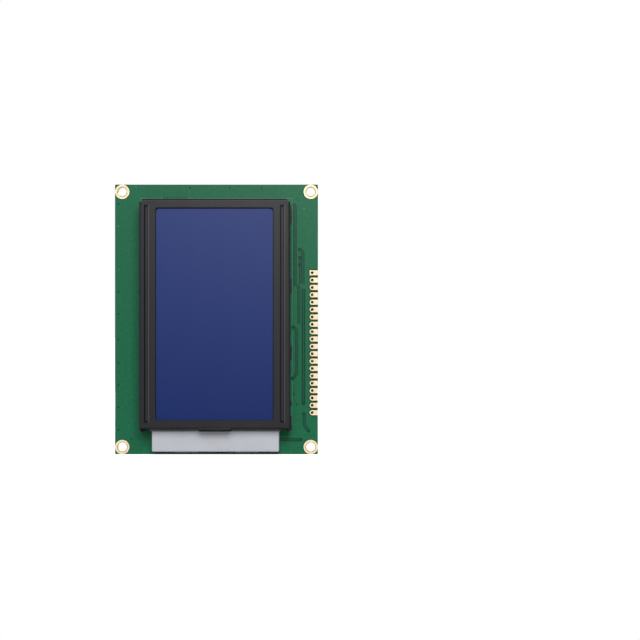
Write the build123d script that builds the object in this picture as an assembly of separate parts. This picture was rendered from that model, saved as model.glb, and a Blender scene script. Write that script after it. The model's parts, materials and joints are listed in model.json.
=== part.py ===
from build123d import *
import math
import os

# Graphic display module, upright: +Z is the long side, pin 1 uppermost, the display looks along -Y.
# Origin: centre of the four mounting holes, on the front face of the circuit board. Millimetres.

# Circuit board, which stands out round the bezel
BOARD_SIDE_MARGIN = 9.5
BOARD_END_MARGIN = 7.5
BOARD_THICKNESS = 1.6
BOARD_CORNER_RADIUS = 0.4
COPPER = 0.05

# Mounting holes, one in each corner
MOUNT_INSET = 2.5
MOUNT_HOLE_DIAMETER = 3.0
MOUNT_RING_DIAMETER = 4.96

# Header row of plated pads along the right edge
PIN_COUNT = 20
PIN_PITCH = 2.54
PIN_ONE_FROM_TOP = 30.4
PIN_HOLE_DIAMETER = 1.0
PIN_HOLE_INSET = 2.0
PIN_PAD_WIDTH = 1.75
PIN_PAD_EDGE_GAP = 0.05

# Alignment holes under the bezel walls
ALIGN_HOLE_DIAMETER = 1.7
ALIGN_HOLE_INBOARD = 0.1
ALIGN_HOLE_ABOVE_INNER_TAB = 8.4
ALIGN_HOLE_ABOVE_OUTER_TAB = 6.8

# Bezel, folded from black painted steel sheet
SHEET = 0.5
BEZEL_SIDE_FRAME = 5.5
BEZEL_END_FRAME = 3.0
BEZEL_DEPTH = 9.0
BEZEL_RISE = 1.85
BEND_RADIUS = 0.8
FOLD_EASE = 0.98
CORNER_RELIEF = 1.0
TOP_CORNER_NOTCH = 1.0
WINDOW_WIDTH = 40.0
WINDOW_HEIGHT = 72.0
WINDOW_CORNER_RADIUS = 0.9
GROOVE_INSET = 2.5
GROOVE_WIDTH = 1.2
GROOVE_DEPTH = 0.2
GROOVE_END_INSET = 1.9
GROOVE_PIT_DIAMETER = 0.9
GROOVE_PIT_DEPTH = 0.35
SIDE_WALL_OVERHANG = 1.2
LIP_REACH = 1.0
TONGUE_WIDTH = 10.6
TONGUE_REACH = 0.8
TONGUE_ROUND = 0.45

# Twisted tabs of the bezel, four on each long side
TAB_WIDTH = 5.0
TAB_FROM_FOOT = 1.45
INNER_TAB_HEIGHT = 11.6
TAB_STAND = 1.9
TAB_HEAD_HEIGHT = 1.3
TAB_WAIST_WIDTH = 1.6
TAB_WAIST_SUNK = 0.25
TAB_LEAN = 0.8
TAB_SLIDE = 0.85
TAB_TWIST = 49.0
TAB_TWIST_STEPS = 5
TAB_SLOT_WIDTH = 1.6
TAB_SLOT_OUTER_PLAY = 0.45
TAB_SLOT_PLAY = 0.25
TAB_PAD_WIDTH = 2.0
TAB_PAD_LENGTH = 5.6
TAB_PAD_GAP = 0.05

# Small feet of the bezel wall that stand on the board and cover each slot and alignment hole
FOOT_THICKNESS = 0.4
FOOT_COVER = 0.05

# Display cell, from the front backwards
POLARISER = 0.2
GLASS = 1.1
CELL_GAP = 0.1
SEAL_WIDTH = 1.2
FRONT_GLASS_SIDE_PLAY = 0.8
FRONT_GLASS_END_PLAY = 0.4
REAR_GLASS_SIDE_OVERLAP = 0.6
REAR_GLASS_END_OVERLAP = 1.5
POLARISER_OVERLAP = 1.2
REAR_POLARISER_INSET = 0.2

# Backlight
FILM = 0.2
GUIDE_THICKNESS = 4.0
GUIDE_INSET = 0.4
HOUSING_PLAY = 0.2
HOUSING_SIDE_PLAY = 0.9
CONTACT_STRIP_WIDTH = 1.8
CONTACT_STRIP_END_INSET = 3.1
CONTACT_STRIP_PLAY = 0.1
STRIP_WALL = 0.6
TAIL_WIDTH = 43.4
TAIL_FROM_EDGE = 1.3
TAIL_FRONT = 5.0
TAIL_SKIN = 0.6
TAIL_WALL = 0.8
TAIL_CORNER_RADIUS = 0.5
TAIL_FOOT_WIDTH = 8.0
TAIL_FOOT_REACH = 0.5
TAIL_FOOT_OFFSET = 10.6
TAIL_FOOT_DEPTH = 1.2
LED_BOARD_THICKNESS = 0.8
LED_BOARD_WIDTH = 38.0
LED_COUNT = 6
LED_PITCH = 6.0
LED_WIDTH = 3.0
LED_LENGTH = 1.2
LED_THICKNESS = 1.2
LED_GAP = 0.1
LEAD_SPACING = 10.16
LEAD_FROM_EDGE = 1.45
LEAD_WIDTH = 1.2
LEAD_THICKNESS = 0.4
LEAD_RUN = 3.0
LEAD_STAND = 0.75
LEAD_HOLE_DIAMETER = 1.5
LEAD_LAND_WIDTH = 3.4
LEAD_LAND_HEIGHT = 2.1
LEAD_SOLDER_WIDTH = 3.0
LEAD_SOLDER_HEIGHT = 1.8
LEAD_SOLDER_RISE = 0.55
LEAD_SOLDER_TAPER = 35
LEAD_NOTCH_PLAY = 0.2
LEAD_NOTCH_LENGTH = 3.2
LEAD_RELIEF_LENGTH = 4.2
LEAD_RELIEF_DEPTH = 0.15

# Driver chips: bare dies under black resin caps. Each row is x, z, cap diameter.
DRIVER_SPOTS = {
    "upper": (-9.2, 21.8, 16.0),
    "middle": (8.9, 7.0, 16.2),
    "lower": (-8.7, -18.9, 18.9),
}
CAP_RISE = 1.7
CAP_SHOULDER_RISE = 1.15
CAP_SHOULDER_INSET = 0.9
DIE_SIDE = 4.2
DIE_THICKNESS = 0.4

# Chip resistors and capacitors, 2.0 by 1.25 mm bodies on the back of the board
CHIP_LENGTH = 2.0
CHIP_WIDTH = 1.25
CHIP_END = 0.45
CHIP_END_PROUD = 0.03
RESISTOR_HEIGHT = 0.5
CAPACITOR_HEIGHT = 0.85
LAND_LENGTH = 1.3
LAND_WIDTH = 1.45
LAND_CENTRE = 1.35
SOLDER_LENGTH = 0.6
SOLDER_RISE = 0.35
SOLDER_HOLLOW = 0.35

# Places on the back of the board: the edge they are measured from ("mid" is the board's centre) and
# how far inwards, first across, then up or down. Each chip also lies across (along X) or upright.
COLUMN_X = 7.8
COLUMN_TOP = -13.3
COLUMN_PITCH = 2.6
COLUMN_RESISTORS = 5
LOOSE_RESISTORS = {
    "resistor_6": ("right", 6.7, "mid", -22.0, "upright"),
    "resistor_7": ("mid", 0.8, "foot", 10.2, "across"),
    "resistor_8": ("mid", 11.7, "top", 6.5, "across"),
    "resistor_9": ("right", 14.2, "foot", 4.3, "upright"),
}
LOOSE_CAPACITORS = {
    "capacitor_2": ("mid", -4.4, "mid", 7.1, "upright"),
    "capacitor_3": ("right", 9.9, "mid", -24.2, "upright"),
    "capacitor_4": ("right", 8.9, "mid", 18.6, "across"),
}

# Bare gold-plated lands of parts that aren't fitted: place, width, height
BARE_LANDS = (
    ("right", 7.7, "mid", 23.5, 1.7, 1.5),
    ("right", 10.1, "mid", 23.5, 1.7, 1.5),
    ("right", 7.7, "mid", 21.1, 1.7, 1.5),
    ("right", 10.1, "mid", 21.1, 1.7, 1.5),
    ("mid", 12.8, "top", 10.2, 1.75, 2.1),
    ("mid", 10.2, "top", 10.2, 1.75, 2.1),
    ("mid", 7.6, "top", 10.2, 1.75, 2.1),
    ("mid", 11.2, "top", 14.15, 1.1, 1.15),
    ("mid", 9.2, "top", 14.15, 1.1, 1.15),
    ("right", 11.25, "foot", 6.0, 1.7, 1.55),
    ("right", 11.25, "foot", 2.5, 1.7, 1.55),
    ("mid", -9.2, "foot", 6.8, 1.5, 1.7),
    ("mid", -9.2, "foot", 4.0, 1.5, 1.7),
    ("mid", -11.9, "foot", 6.8, 1.5, 1.7),
    ("mid", -11.9, "foot", 4.0, 1.5, 1.7),
    ("right", 9.1, "foot", 4.7, 1.0, 0.9),
    ("right", 9.1, "foot", 3.65, 1.0, 0.9),
    ("right", 4.35, "foot", 11.5, 1.0, 1.1),
    ("right", 4.35, "foot", 9.8, 1.0, 1.1),
    ("right", 5.6, "foot", 10.65, 1.0, 2.7),
    ("right", 4.35, "foot", 7.9, 1.0, 1.1),
    ("right", 4.35, "foot", 6.2, 1.0, 1.1),
    ("right", 5.6, "foot", 7.05, 1.0, 2.7),
)

# Solder jumpers: small lands bridged with solder. Place, width, height
JUMPER_SPOTS = {
    "jumper_bridge_1": ("mid", 12.7, "mid", -23.8, 1.9, 1.0),
    "jumper_bridge_2": ("right", 18.95, "top", 13.1, 1.0, 2.4),
    "jumper_bridge_3": ("mid", 7.0, "foot", 13.3, 2.7, 1.3),
    "jumper_bridge_4": ("right", 10.9, "top", 2.9, 1.6, 2.3),
}
JUMPER_MARGIN = 0.1
JUMPER_RISE = 0.25
JUMPER_TAPER = 30
JUMPER_ROUND_SHARE = 0.35

# Gold bar on the back, left blank
BAR_FROM_LEFT_EDGE = 6.1
BAR_Z = -1.4
BAR_WIDTH = 1.5
BAR_HEIGHT = 8.9

# Planes and reaches worked out from the sizes above
bezel_width = WINDOW_WIDTH + 2 * BEZEL_SIDE_FRAME
bezel_height = WINDOW_HEIGHT + 2 * BEZEL_END_FRAME
board_width = bezel_width + 2 * BOARD_SIDE_MARGIN
board_height = bezel_height + 2 * BOARD_END_MARGIN
board_front = 0.0
board_back = BOARD_THICKNESS
half_width = board_width / 2
half_height = board_height / 2
mount_x = half_width - MOUNT_INSET
mount_z = half_height - MOUNT_INSET
pin_x = half_width - PIN_HOLE_INSET
pin_one_z = half_height - PIN_ONE_FROM_TOP
lead_z = -half_height + LEAD_FROM_EDGE

bezel_half = bezel_width / 2
bezel_inner = bezel_half - SHEET
bezel_bottom = BEZEL_RISE - bezel_height / 2
bezel_top = BEZEL_RISE + bezel_height / 2
face_front = -BEZEL_DEPTH
face_back = face_front + SHEET
tab_x = bezel_half - SHEET / 2
slot_x = bezel_half + TAB_SLOT_OUTER_PLAY - TAB_SLOT_WIDTH / 2
outer_tab_height = -bezel_bottom - TAB_FROM_FOOT
tab_heights = (outer_tab_height, INNER_TAB_HEIGHT, -INNER_TAB_HEIGHT, -outer_tab_height)
align_hole_x = tab_x - ALIGN_HOLE_INBOARD
align_hole_heights = (
    INNER_TAB_HEIGHT + ALIGN_HOLE_ABOVE_INNER_TAB,
    ALIGN_HOLE_ABOVE_OUTER_TAB - outer_tab_height,
)

front_glass_width = bezel_width - 2 * (SHEET + FRONT_GLASS_SIDE_PLAY)
front_glass_height = bezel_height - 2 * (SHEET + FRONT_GLASS_END_PLAY)
rear_glass_width = WINDOW_WIDTH + 2 * REAR_GLASS_SIDE_OVERLAP
rear_glass_height = WINDOW_HEIGHT + 2 * REAR_GLASS_END_OVERLAP
contact_strip_length = front_glass_height - 2 * CONTACT_STRIP_END_INSET

front_polariser_back = face_back + POLARISER
front_glass_back = front_polariser_back + GLASS
cell_back = front_glass_back + CELL_GAP
rear_glass_back = cell_back + GLASS
rear_polariser_back = rear_glass_back + POLARISER
diffuser_back = rear_polariser_back + FILM
guide_back = diffuser_back + GUIDE_THICKNESS
reflector_back = guide_back + FILM
tail_front = -TAIL_FRONT
tail_bottom = -half_height + TAIL_FROM_EDGE
tail_ceiling = tail_front + TAIL_SKIN
pocket_half = rear_glass_width / 2 + HOUSING_PLAY
pocket_low = BEZEL_RISE - rear_glass_height / 2 - HOUSING_PLAY
pocket_high = BEZEL_RISE + rear_glass_height / 2 + HOUSING_PLAY
housing_low = bezel_bottom + SHEET + HOUSING_PLAY
strip_x = pocket_half + STRIP_WALL + CONTACT_STRIP_PLAY + CONTACT_STRIP_WIDTH / 2
guide_low = BEZEL_RISE - rear_glass_height / 2 + GUIDE_INSET
land_back = board_back + COPPER


def block(x_low, x_high, y_low, y_high, z_low, z_high):
    """A box between two corners."""
    centre = Pos((x_low + x_high) / 2, (y_low + y_high) / 2, (z_low + z_high) / 2)
    return centre * Box(x_high - x_low, y_high - y_low, z_high - z_low)


def slab(outline, y_low, y_high):
    """A flat outline, drawn with x across and y upwards, given thickness between two depths."""
    return extrude(Plane.XZ.offset(-y_high) * outline, amount=y_high - y_low)


def panel(width, height, x, z, y_low, y_high):
    """A plain rectangular plate centred on x, z."""
    return block(x - width / 2, x + width / 2, y_low, y_high, z - height / 2, z + height / 2)


def rod(radius, x, z, y_low, y_high):
    """A round rod or drill along Y."""
    return slab(Pos(x, z) * Circle(radius), y_low, y_high)


def capsule(width, length, x, z, y_low, y_high):
    """A plate with round ends, longer along Z."""
    return slab(Pos(x, z) * Rot(0, 0, 90) * SlotOverall(length, width), y_low, y_high)


def oval(width, height, x, z, y_low, y_high):
    """A plate with round ends, longer along X."""
    return slab(Pos(x, z) * SlotOverall(width, height), y_low, y_high)


def corners():
    """The four mounting hole places."""
    return [(sx * mount_x, sz * mount_z) for sx in (-1, 1) for sz in (-1, 1)]


def pin_places():
    """Height of each header hole, pin 1 first."""
    return [pin_one_z - PIN_PITCH * index for index in range(PIN_COUNT)]


def tab_places():
    """Side (-1 left, 1 right) and height of each bezel tab."""
    return [(side, z) for side in (-1, 1) for z in tab_heights]


def lead_places():
    """Across position of the two backlight leads: anode on the header side, cathode opposite."""
    return {"anode": LEAD_SPACING / 2, "cathode": -LEAD_SPACING / 2}


def circuit_board():
    """The glass-fibre board with every hole and slot that goes through it."""
    outline = RectangleRounded(board_width, board_height, BOARD_CORNER_RADIUS)
    board = slab(outline, board_front, board_back)
    through = []
    for x, z in corners():
        through.append(rod(MOUNT_HOLE_DIAMETER / 2 + COPPER, x, z, board_front, board_back))
    for z in pin_places():
        through.append(rod(PIN_HOLE_DIAMETER / 2 + COPPER, pin_x, z, board_front, board_back))
    for side, z in tab_places():
        length = TAB_WIDTH + 2 * TAB_SLOT_PLAY
        through.append(capsule(TAB_SLOT_WIDTH, length, side * slot_x, z, board_front, board_back))
    for side, z in zip((-1, 1), align_hole_heights):
        through.append(rod(ALIGN_HOLE_DIAMETER / 2, side * align_hole_x, z, board_front, board_back))
    for x in lead_places().values():
        through.append(rod(LEAD_HOLE_DIAMETER / 2 + COPPER, x, lead_z, board_front, board_back))
    return board - through


def plated_ring(pad_front, pad_back, hole_radius, x, z):
    """Front pad, back pad and the plated barrel that joins them, as one piece of copper."""
    barrel = rod(hole_radius + COPPER, x, z, board_front - COPPER, board_back + COPPER)
    bore = rod(hole_radius, x, z, board_front - COPPER, board_back + COPPER)
    return pad_front + pad_back + barrel - bore


def both_faces(make):
    """The same pad on the front and on the back face."""
    front = make(board_front - COPPER, board_front)
    back = make(board_back, board_back + COPPER)
    return front, back


def mounting_rings():
    """Plated rings of the four mounting holes."""
    rings = []
    for x, z in corners():
        front, back = both_faces(lambda low, high: rod(MOUNT_RING_DIAMETER / 2, x, z, low, high))
        rings.append(plated_ring(front, back, MOUNT_HOLE_DIAMETER / 2, x, z))
    return rings


def header_pads():
    """Twenty bullet-shaped pads that run out to the board edge; the first has a square end."""
    edge = half_width - PIN_PAD_EDGE_GAP
    radius = PIN_PAD_WIDTH / 2
    pads = []
    for index, z in enumerate(pin_places()):

        def shape(low, high, square=index == 0):
            straight = block(pin_x, edge, low, high, z - radius, z + radius)
            if square:
                return straight + block(pin_x - radius, pin_x, low, high, z - radius, z + radius)
            return straight + rod(radius, pin_x, z, low, high)

        front, back = both_faces(shape)
        pads.append(plated_ring(front, back, PIN_HOLE_DIAMETER / 2, pin_x, z))
    return pads


def tab_pads():
    """Gold ovals on the back, inboard of each tab slot."""
    inboard = slot_x - TAB_SLOT_WIDTH / 2 - TAB_PAD_GAP - TAB_PAD_WIDTH / 2
    return [
        capsule(TAB_PAD_WIDTH, TAB_PAD_LENGTH, side * inboard, z, board_back, land_back)
        for side, z in tab_places()
    ]


def lead_lands():
    """Plated oval lands of the two backlight leads."""
    lands = []
    for x in lead_places().values():
        front, back = both_faces(
            lambda low, high: oval(LEAD_LAND_WIDTH, LEAD_LAND_HEIGHT, x, lead_z, low, high)
        )
        lands.append(plated_ring(front, back, LEAD_HOLE_DIAMETER / 2, x, lead_z))
    return lands


def bezel_shell():
    """The five-sided pan of the bezel, with its window, before the tabs are added."""
    outer = panel(bezel_width, bezel_height, 0, BEZEL_RISE, face_front, board_front)
    outer = fillet(outer.edges().filter_by(Axis.Y), BEND_RADIUS)
    outer = fillet(outer.faces().sort_by(Axis.Y)[0].edges(), BEND_RADIUS * FOLD_EASE)
    inner = panel(
        bezel_width - 2 * SHEET, bezel_height - 2 * SHEET, 0, BEZEL_RISE, face_back, board_front
    )
    inner_radius = BEND_RADIUS - SHEET
    inner = fillet(inner.edges().filter_by(Axis.Y), inner_radius)
    inner = fillet(inner.faces().sort_by(Axis.Y)[0].edges(), inner_radius * FOLD_EASE)
    window = Pos(0, BEZEL_RISE) * RectangleRounded(WINDOW_WIDTH, WINDOW_HEIGHT, WINDOW_CORNER_RADIUS)
    return outer - inner - slab(window, face_front, face_back)


def bezel_grooves():
    """Coined groove along each long side of the face, with a deeper pit at each end."""
    x = bezel_half - GROOVE_INSET
    length = bezel_height - 2 * GROOVE_END_INSET
    cuts = []
    for side in (-1, 1):
        cuts.append(
            capsule(GROOVE_WIDTH, length, side * x, BEZEL_RISE, face_front, face_front + GROOVE_DEPTH)
        )
        for end in (-1, 1):
            z = BEZEL_RISE + end * (length - GROOVE_WIDTH) / 2
            depth = face_front + GROOVE_PIT_DEPTH
            cuts.append(rod(GROOVE_PIT_DIAMETER / 2, side * x, z, face_front, depth))
    return cuts


def corner_reliefs():
    """Gaps where the folded walls would meet: a notch at each top corner, a short gap at the foot."""
    depth = face_front + BEND_RADIUS + SHEET / 2
    cuts = []
    for side in (-1, 1):
        x_low, x_high = sorted((side * (bezel_half - TOP_CORNER_NOTCH), side * bezel_half))
        cuts.append(
            block(x_low, x_high, face_front, board_front, bezel_top - TOP_CORNER_NOTCH, bezel_top)
        )
        x_low, x_high = sorted((side * (bezel_inner - CORNER_RELIEF), side * bezel_inner))
        cuts.append(block(x_low, x_high, depth, board_front, bezel_bottom, bezel_bottom + SHEET))
    return cuts


def bezel_foot():
    """Lower edge: walls let the tail pass, an outward lip rests on it, a tongue stands out midway."""
    tail_half = TAIL_WIDTH / 2 + SHEET
    lip_front = tail_front - SHEET
    tongue_half = TONGUE_WIDTH / 2
    tongue_z = bezel_bottom - TONGUE_REACH
    passage = block(
        -tail_half, tail_half, lip_front, board_front, bezel_bottom, bezel_bottom + SHEET
    )
    lip = block(
        -tail_half, tail_half, lip_front, tail_front, bezel_bottom - LIP_REACH, bezel_bottom + SHEET
    )
    tongue = block(
        -tongue_half, tongue_half, face_front, tail_front, tongue_z, bezel_bottom + SHEET
    )
    front_edge = tongue.edges().filter_by(Axis.X).group_by(Axis.Z)[0].sort_by(Axis.Y)[0]
    tongue = fillet(front_edge, TONGUE_ROUND)
    hollow = block(
        SHEET - tongue_half,
        tongue_half - SHEET,
        face_back,
        tail_front,
        tongue_z + SHEET,
        bezel_bottom + SHEET,
    )
    return passage, lip, tongue, hollow


def side_wall_ends():
    """The side walls run on a little below the lower fold."""
    ends = []
    low = bezel_bottom - SIDE_WALL_OVERHANG
    high = bezel_bottom + CORNER_RELIEF
    for side in (-1, 1):
        x_low, x_high = sorted((side * bezel_inner, side * bezel_half))
        ends.append(block(x_low, x_high, face_front + 2 * BEND_RADIUS, board_front, low, high))
    return ends


def twisted_tab(side, z):
    """One tab: straight in its slot, then a narrow waist twisted inboard below a wide locking head."""
    outward = 1 if z > 0 else -1
    waist_low = board_back - TAB_WAIST_SUNK
    head_high = board_back + TAB_STAND
    head_low = head_high - TAB_HEAD_HEIGHT
    straight = panel(SHEET, TAB_WIDTH, side * tab_x, z, board_front - SHEET, waist_low)

    def turned(share):
        turn = -share * TAB_TWIST * side * outward
        return Pos(side * (tab_x - TAB_LEAN * share), z + TAB_SLIDE * share * outward) * Rot(0, 0, turn)

    sections = []
    for step in range(TAB_TWIST_STEPS + 1):
        share = step / TAB_TWIST_STEPS
        plane = Plane.XZ.offset(-(waist_low + (head_low - waist_low) * share))
        sections.append(plane * turned(share) * Rectangle(SHEET, TAB_WAIST_WIDTH))
    waist = loft(sections, ruled=True)
    head = slab(turned(1) * Rectangle(SHEET, TAB_WIDTH), head_low, head_high)
    return straight, waist, head


def wall_feet():
    """Flat feet under the side walls, a little larger than the slots and holes that they cover."""
    front = board_front - FOOT_THICKNESS
    width = TAB_SLOT_WIDTH + 2 * FOOT_COVER
    length = TAB_WIDTH + 2 * (TAB_SLOT_PLAY + FOOT_COVER)
    feet = [
        capsule(width, length, side * slot_x, z, front, board_front) for side, z in tab_places()
    ]
    for side, z in zip((-1, 1), align_hole_heights):
        radius = ALIGN_HOLE_DIAMETER / 2 + FOOT_COVER
        feet.append(rod(radius, side * align_hole_x, z, front, board_front))
    return feet


def bezel():
    """The whole folded bezel as one piece of sheet."""
    passage, lip, tongue, hollow = bezel_foot()
    shell = bezel_shell() - corner_reliefs() - bezel_grooves() - passage
    shell = shell + side_wall_ends() + wall_feet() + lip + tongue - hollow
    for side, z in tab_places():
        for piece in twisted_tab(side, z):
            shell = shell + piece
    return shell


def display_cell():
    """The glass cell: polarisers, two panes, the seal round the edge and the filling between."""
    window_half_x = WINDOW_WIDTH / 2 + POLARISER_OVERLAP
    window_half_z = WINDOW_HEIGHT / 2 + POLARISER_OVERLAP
    seal_outer = panel(
        rear_glass_width, rear_glass_height, 0, BEZEL_RISE, front_glass_back, cell_back
    )
    filling = panel(
        rear_glass_width - 2 * SEAL_WIDTH,
        rear_glass_height - 2 * SEAL_WIDTH,
        0,
        BEZEL_RISE,
        front_glass_back,
        cell_back,
    )
    return {
        "front_polariser": panel(
            2 * window_half_x, 2 * window_half_z, 0, BEZEL_RISE, face_back, front_polariser_back
        ),
        "front_glass": panel(
            front_glass_width, front_glass_height, 0, BEZEL_RISE, front_polariser_back, front_glass_back
        ),
        "cell_seal": seal_outer - filling,
        "liquid_crystal_layer": filling,
        "rear_glass": panel(
            rear_glass_width, rear_glass_height, 0, BEZEL_RISE, cell_back, rear_glass_back
        ),
        "rear_polariser": panel(
            rear_glass_width - 2 * REAR_POLARISER_INSET,
            rear_glass_height - 2 * REAR_POLARISER_INSET,
            0,
            BEZEL_RISE,
            rear_glass_back,
            rear_polariser_back,
        ),
    }


def backlight_films():
    """Diffuser, light guide and reflector, stacked behind the cell."""
    width = rear_glass_width - 2 * GUIDE_INSET
    height = rear_glass_height - 2 * GUIDE_INSET
    return {
        "diffuser_film": panel(width, height, 0, BEZEL_RISE, rear_polariser_back, diffuser_back),
        "light_guide": panel(width, height, 0, BEZEL_RISE, diffuser_back, guide_back),
        "reflector_film": panel(width, height, 0, BEZEL_RISE, guide_back, reflector_back),
    }


def housing_tail():
    """The part of the housing that runs out below the bezel, over the light source."""
    half = TAIL_WIDTH / 2
    tail = block(-half, half, tail_front, board_front, tail_bottom, housing_low)
    low_edges = tail.edges().group_by(Axis.Z)[0].filter_by(Axis.X).sort_by(Axis.Y)[:1]
    side_edges = tail.edges().filter_by(Axis.Z).group_by(Axis.Y)[0]
    upright = tail.edges().filter_by(Axis.Y).group_by(Axis.Z)[0]
    tail = fillet(low_edges + side_edges + upright, TAIL_CORNER_RADIUS)
    for side in (-1, 1):
        x = side * TAIL_FOOT_OFFSET
        reach = 2 * TAIL_FOOT_REACH
        tail = tail + panel(TAIL_FOOT_WIDTH, reach, x, tail_bottom, -TAIL_FOOT_DEPTH, board_front)
    return tail


def housing():
    """White moulded housing: pocket for cell and guide, slots for the contact strips, and the tail."""
    half = bezel_inner - HOUSING_SIDE_PLAY
    body_top = bezel_top - SHEET - HOUSING_PLAY
    body = block(-half, half, front_glass_back, board_front, housing_low, body_top)
    pocket = block(
        -pocket_half, pocket_half, front_glass_back, reflector_back, pocket_low, pocket_high
    )
    cavity_half = TAIL_WIDTH / 2 - TAIL_WALL
    cavity = block(
        -cavity_half, cavity_half, tail_ceiling, board_front, tail_bottom + TAIL_WALL, housing_low
    )
    doorway_half = LED_BOARD_WIDTH / 2 + HOUSING_PLAY
    doorway = block(
        -doorway_half, doorway_half, tail_ceiling, reflector_back, housing_low, pocket_low
    )
    shape = body - pocket
    shape = shape + housing_tail() - cavity - doorway
    slot_width = CONTACT_STRIP_WIDTH + 2 * CONTACT_STRIP_PLAY
    slot_length = contact_strip_length + 2 * CONTACT_STRIP_PLAY
    for side in (-1, 1):
        shape = shape - panel(
            slot_width, slot_length, side * strip_x, BEZEL_RISE, front_glass_back, board_front
        )
    lead_front = tail_ceiling + LED_BOARD_THICKNESS - LEAD_NOTCH_PLAY
    for x in lead_places().values():
        notch = panel(
            LEAD_WIDTH + 2 * LEAD_NOTCH_PLAY,
            LEAD_NOTCH_LENGTH,
            x,
            tail_bottom,
            lead_front,
            board_front,
        )
        relief = panel(
            LEAD_LAND_WIDTH + 2 * LEAD_NOTCH_PLAY,
            LEAD_RELIEF_LENGTH,
            x,
            lead_z,
            board_front - LEAD_RELIEF_DEPTH,
            board_front,
        )
        shape = shape - notch - relief
    return shape


def contact_strips():
    """Elastomer strips that join the front pane's edge to the board, one along each long side."""
    strips = {}
    for name, side in (("left_contact_strip", -1), ("right_contact_strip", 1)):
        strips[name] = panel(
            CONTACT_STRIP_WIDTH,
            contact_strip_length,
            side * strip_x,
            BEZEL_RISE,
            front_glass_back,
            board_front,
        )
    return strips


def light_source():
    """Strip board in the tail, its row of diodes, and the two leads down to the main board."""
    board_low = tail_bottom + TAIL_WALL + HOUSING_PLAY
    strip_back = tail_ceiling + LED_BOARD_THICKNESS
    led_high = guide_low - LED_GAP
    pieces = {
        "led_board": block(
            -LED_BOARD_WIDTH / 2, LED_BOARD_WIDTH / 2, tail_ceiling, strip_back, board_low, led_high
        )
    }
    for index in range(LED_COUNT):
        x = (index - (LED_COUNT - 1) / 2) * LED_PITCH
        pieces[f"backlight_led_{index + 1}"] = block(
            x - LED_WIDTH / 2,
            x + LED_WIDTH / 2,
            strip_back,
            strip_back + LED_THICKNESS,
            led_high - LED_LENGTH,
            led_high,
        )
    for name, x in lead_places().items():
        leg_low = lead_z - LEAD_THICKNESS / 2
        leg_high = lead_z + LEAD_THICKNESS / 2
        run = block(
            x - LEAD_WIDTH / 2,
            x + LEAD_WIDTH / 2,
            strip_back,
            strip_back + LEAD_THICKNESS,
            leg_low,
            leg_high + LEAD_RUN,
        )
        leg = block(
            x - LEAD_WIDTH / 2,
            x + LEAD_WIDTH / 2,
            strip_back,
            board_back + LEAD_STAND,
            leg_low,
            leg_high,
        )
        pieces[f"{name}_lead"] = run + leg
        pieces[f"{name}_solder"] = lead_solder(x)
    return pieces


def lead_solder(x):
    """Low oval mound of solder round one lead."""
    outline = Pos(x, lead_z) * SlotOverall(LEAD_SOLDER_WIDTH, LEAD_SOLDER_HEIGHT)
    base = Plane.XZ.offset(-land_back) * outline
    mound = extrude(base, amount=-LEAD_SOLDER_RISE, taper=LEAD_SOLDER_TAPER)
    lead = panel(LEAD_WIDTH, LEAD_THICKNESS, x, lead_z, board_front, board_back + LEAD_STAND)
    return mound - lead


def cap_edge_middle(radius):
    """A point half-way round the rounded rim of a resin cap, as distance from its axis and height."""
    share = math.sqrt(0.5)
    return radius - CAP_SHOULDER_INSET * (1 - share), CAP_SHOULDER_RISE * share


def crown_middle(shoulder):
    """A point half-way along the crown of a resin cap, on a ball centred on the cap's axis."""
    rise = CAP_RISE - CAP_SHOULDER_RISE
    ball = (shoulder**2 + rise**2) / (2 * rise)
    half_angle = math.asin(shoulder / ball) / 2
    return ball * math.sin(half_angle), CAP_RISE - ball * (1 - math.cos(half_angle))


def driver_chips():
    """A bare die and its black resin cap at each driver place."""
    pieces = {}
    for name, (x, z, diameter) in DRIVER_SPOTS.items():
        die = panel(DIE_SIDE, DIE_SIDE, x, z, board_back, board_back + DIE_THICKNESS)
        radius = diameter / 2
        shoulder = radius - CAP_SHOULDER_INSET
        outline = Line((0, 0), (radius, 0))
        outline += ThreePointArc((radius, 0), cap_edge_middle(radius), (shoulder, CAP_SHOULDER_RISE))
        outline += ThreePointArc((shoulder, CAP_SHOULDER_RISE), crown_middle(shoulder), (0, CAP_RISE))
        outline += Line((0, CAP_RISE), (0, 0))
        dome = revolve(Pos(x, board_back, z) * make_face(outline), Axis((x, board_back, z), (0, 1, 0)))
        pieces[f"{name}_driver_die"] = die
        pieces[f"{name}_driver_cap"] = dome - die
    return pieces


def spot(side, across, level, up):
    """A place on the board, measured inwards from the named edges, or from its centre for mid."""
    x = {"right": half_width - across, "mid": across, "left": across - half_width}[side]
    z = {"top": half_height - up, "mid": up, "foot": up - half_height}[level]
    return x, z


def chip_places():
    """Every fitted chip: name, x, z, lie and height."""
    places = []
    for index in range(COLUMN_RESISTORS):
        z = COLUMN_TOP - COLUMN_PITCH * index
        places.append((f"resistor_{index + 1}", COLUMN_X, z, "across", RESISTOR_HEIGHT))
    z = COLUMN_TOP - COLUMN_PITCH * COLUMN_RESISTORS
    places.append(("capacitor_1", COLUMN_X, z, "across", CAPACITOR_HEIGHT))
    for name, (*place, lie) in LOOSE_RESISTORS.items():
        places.append((name, *spot(*place), lie, RESISTOR_HEIGHT))
    for name, (*place, lie) in LOOSE_CAPACITORS.items():
        places.append((name, *spot(*place), lie, CAPACITOR_HEIGHT))
    return places


def lay(shape, x, z, lie):
    """Move a chip-sized shape, drawn along X at the origin, to its place on the back of the board."""
    turn = Rot(0, 90, 0) if lie == "upright" else Rot(0, 0, 0)
    return Pos(x, 0, z) * turn * shape


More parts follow.
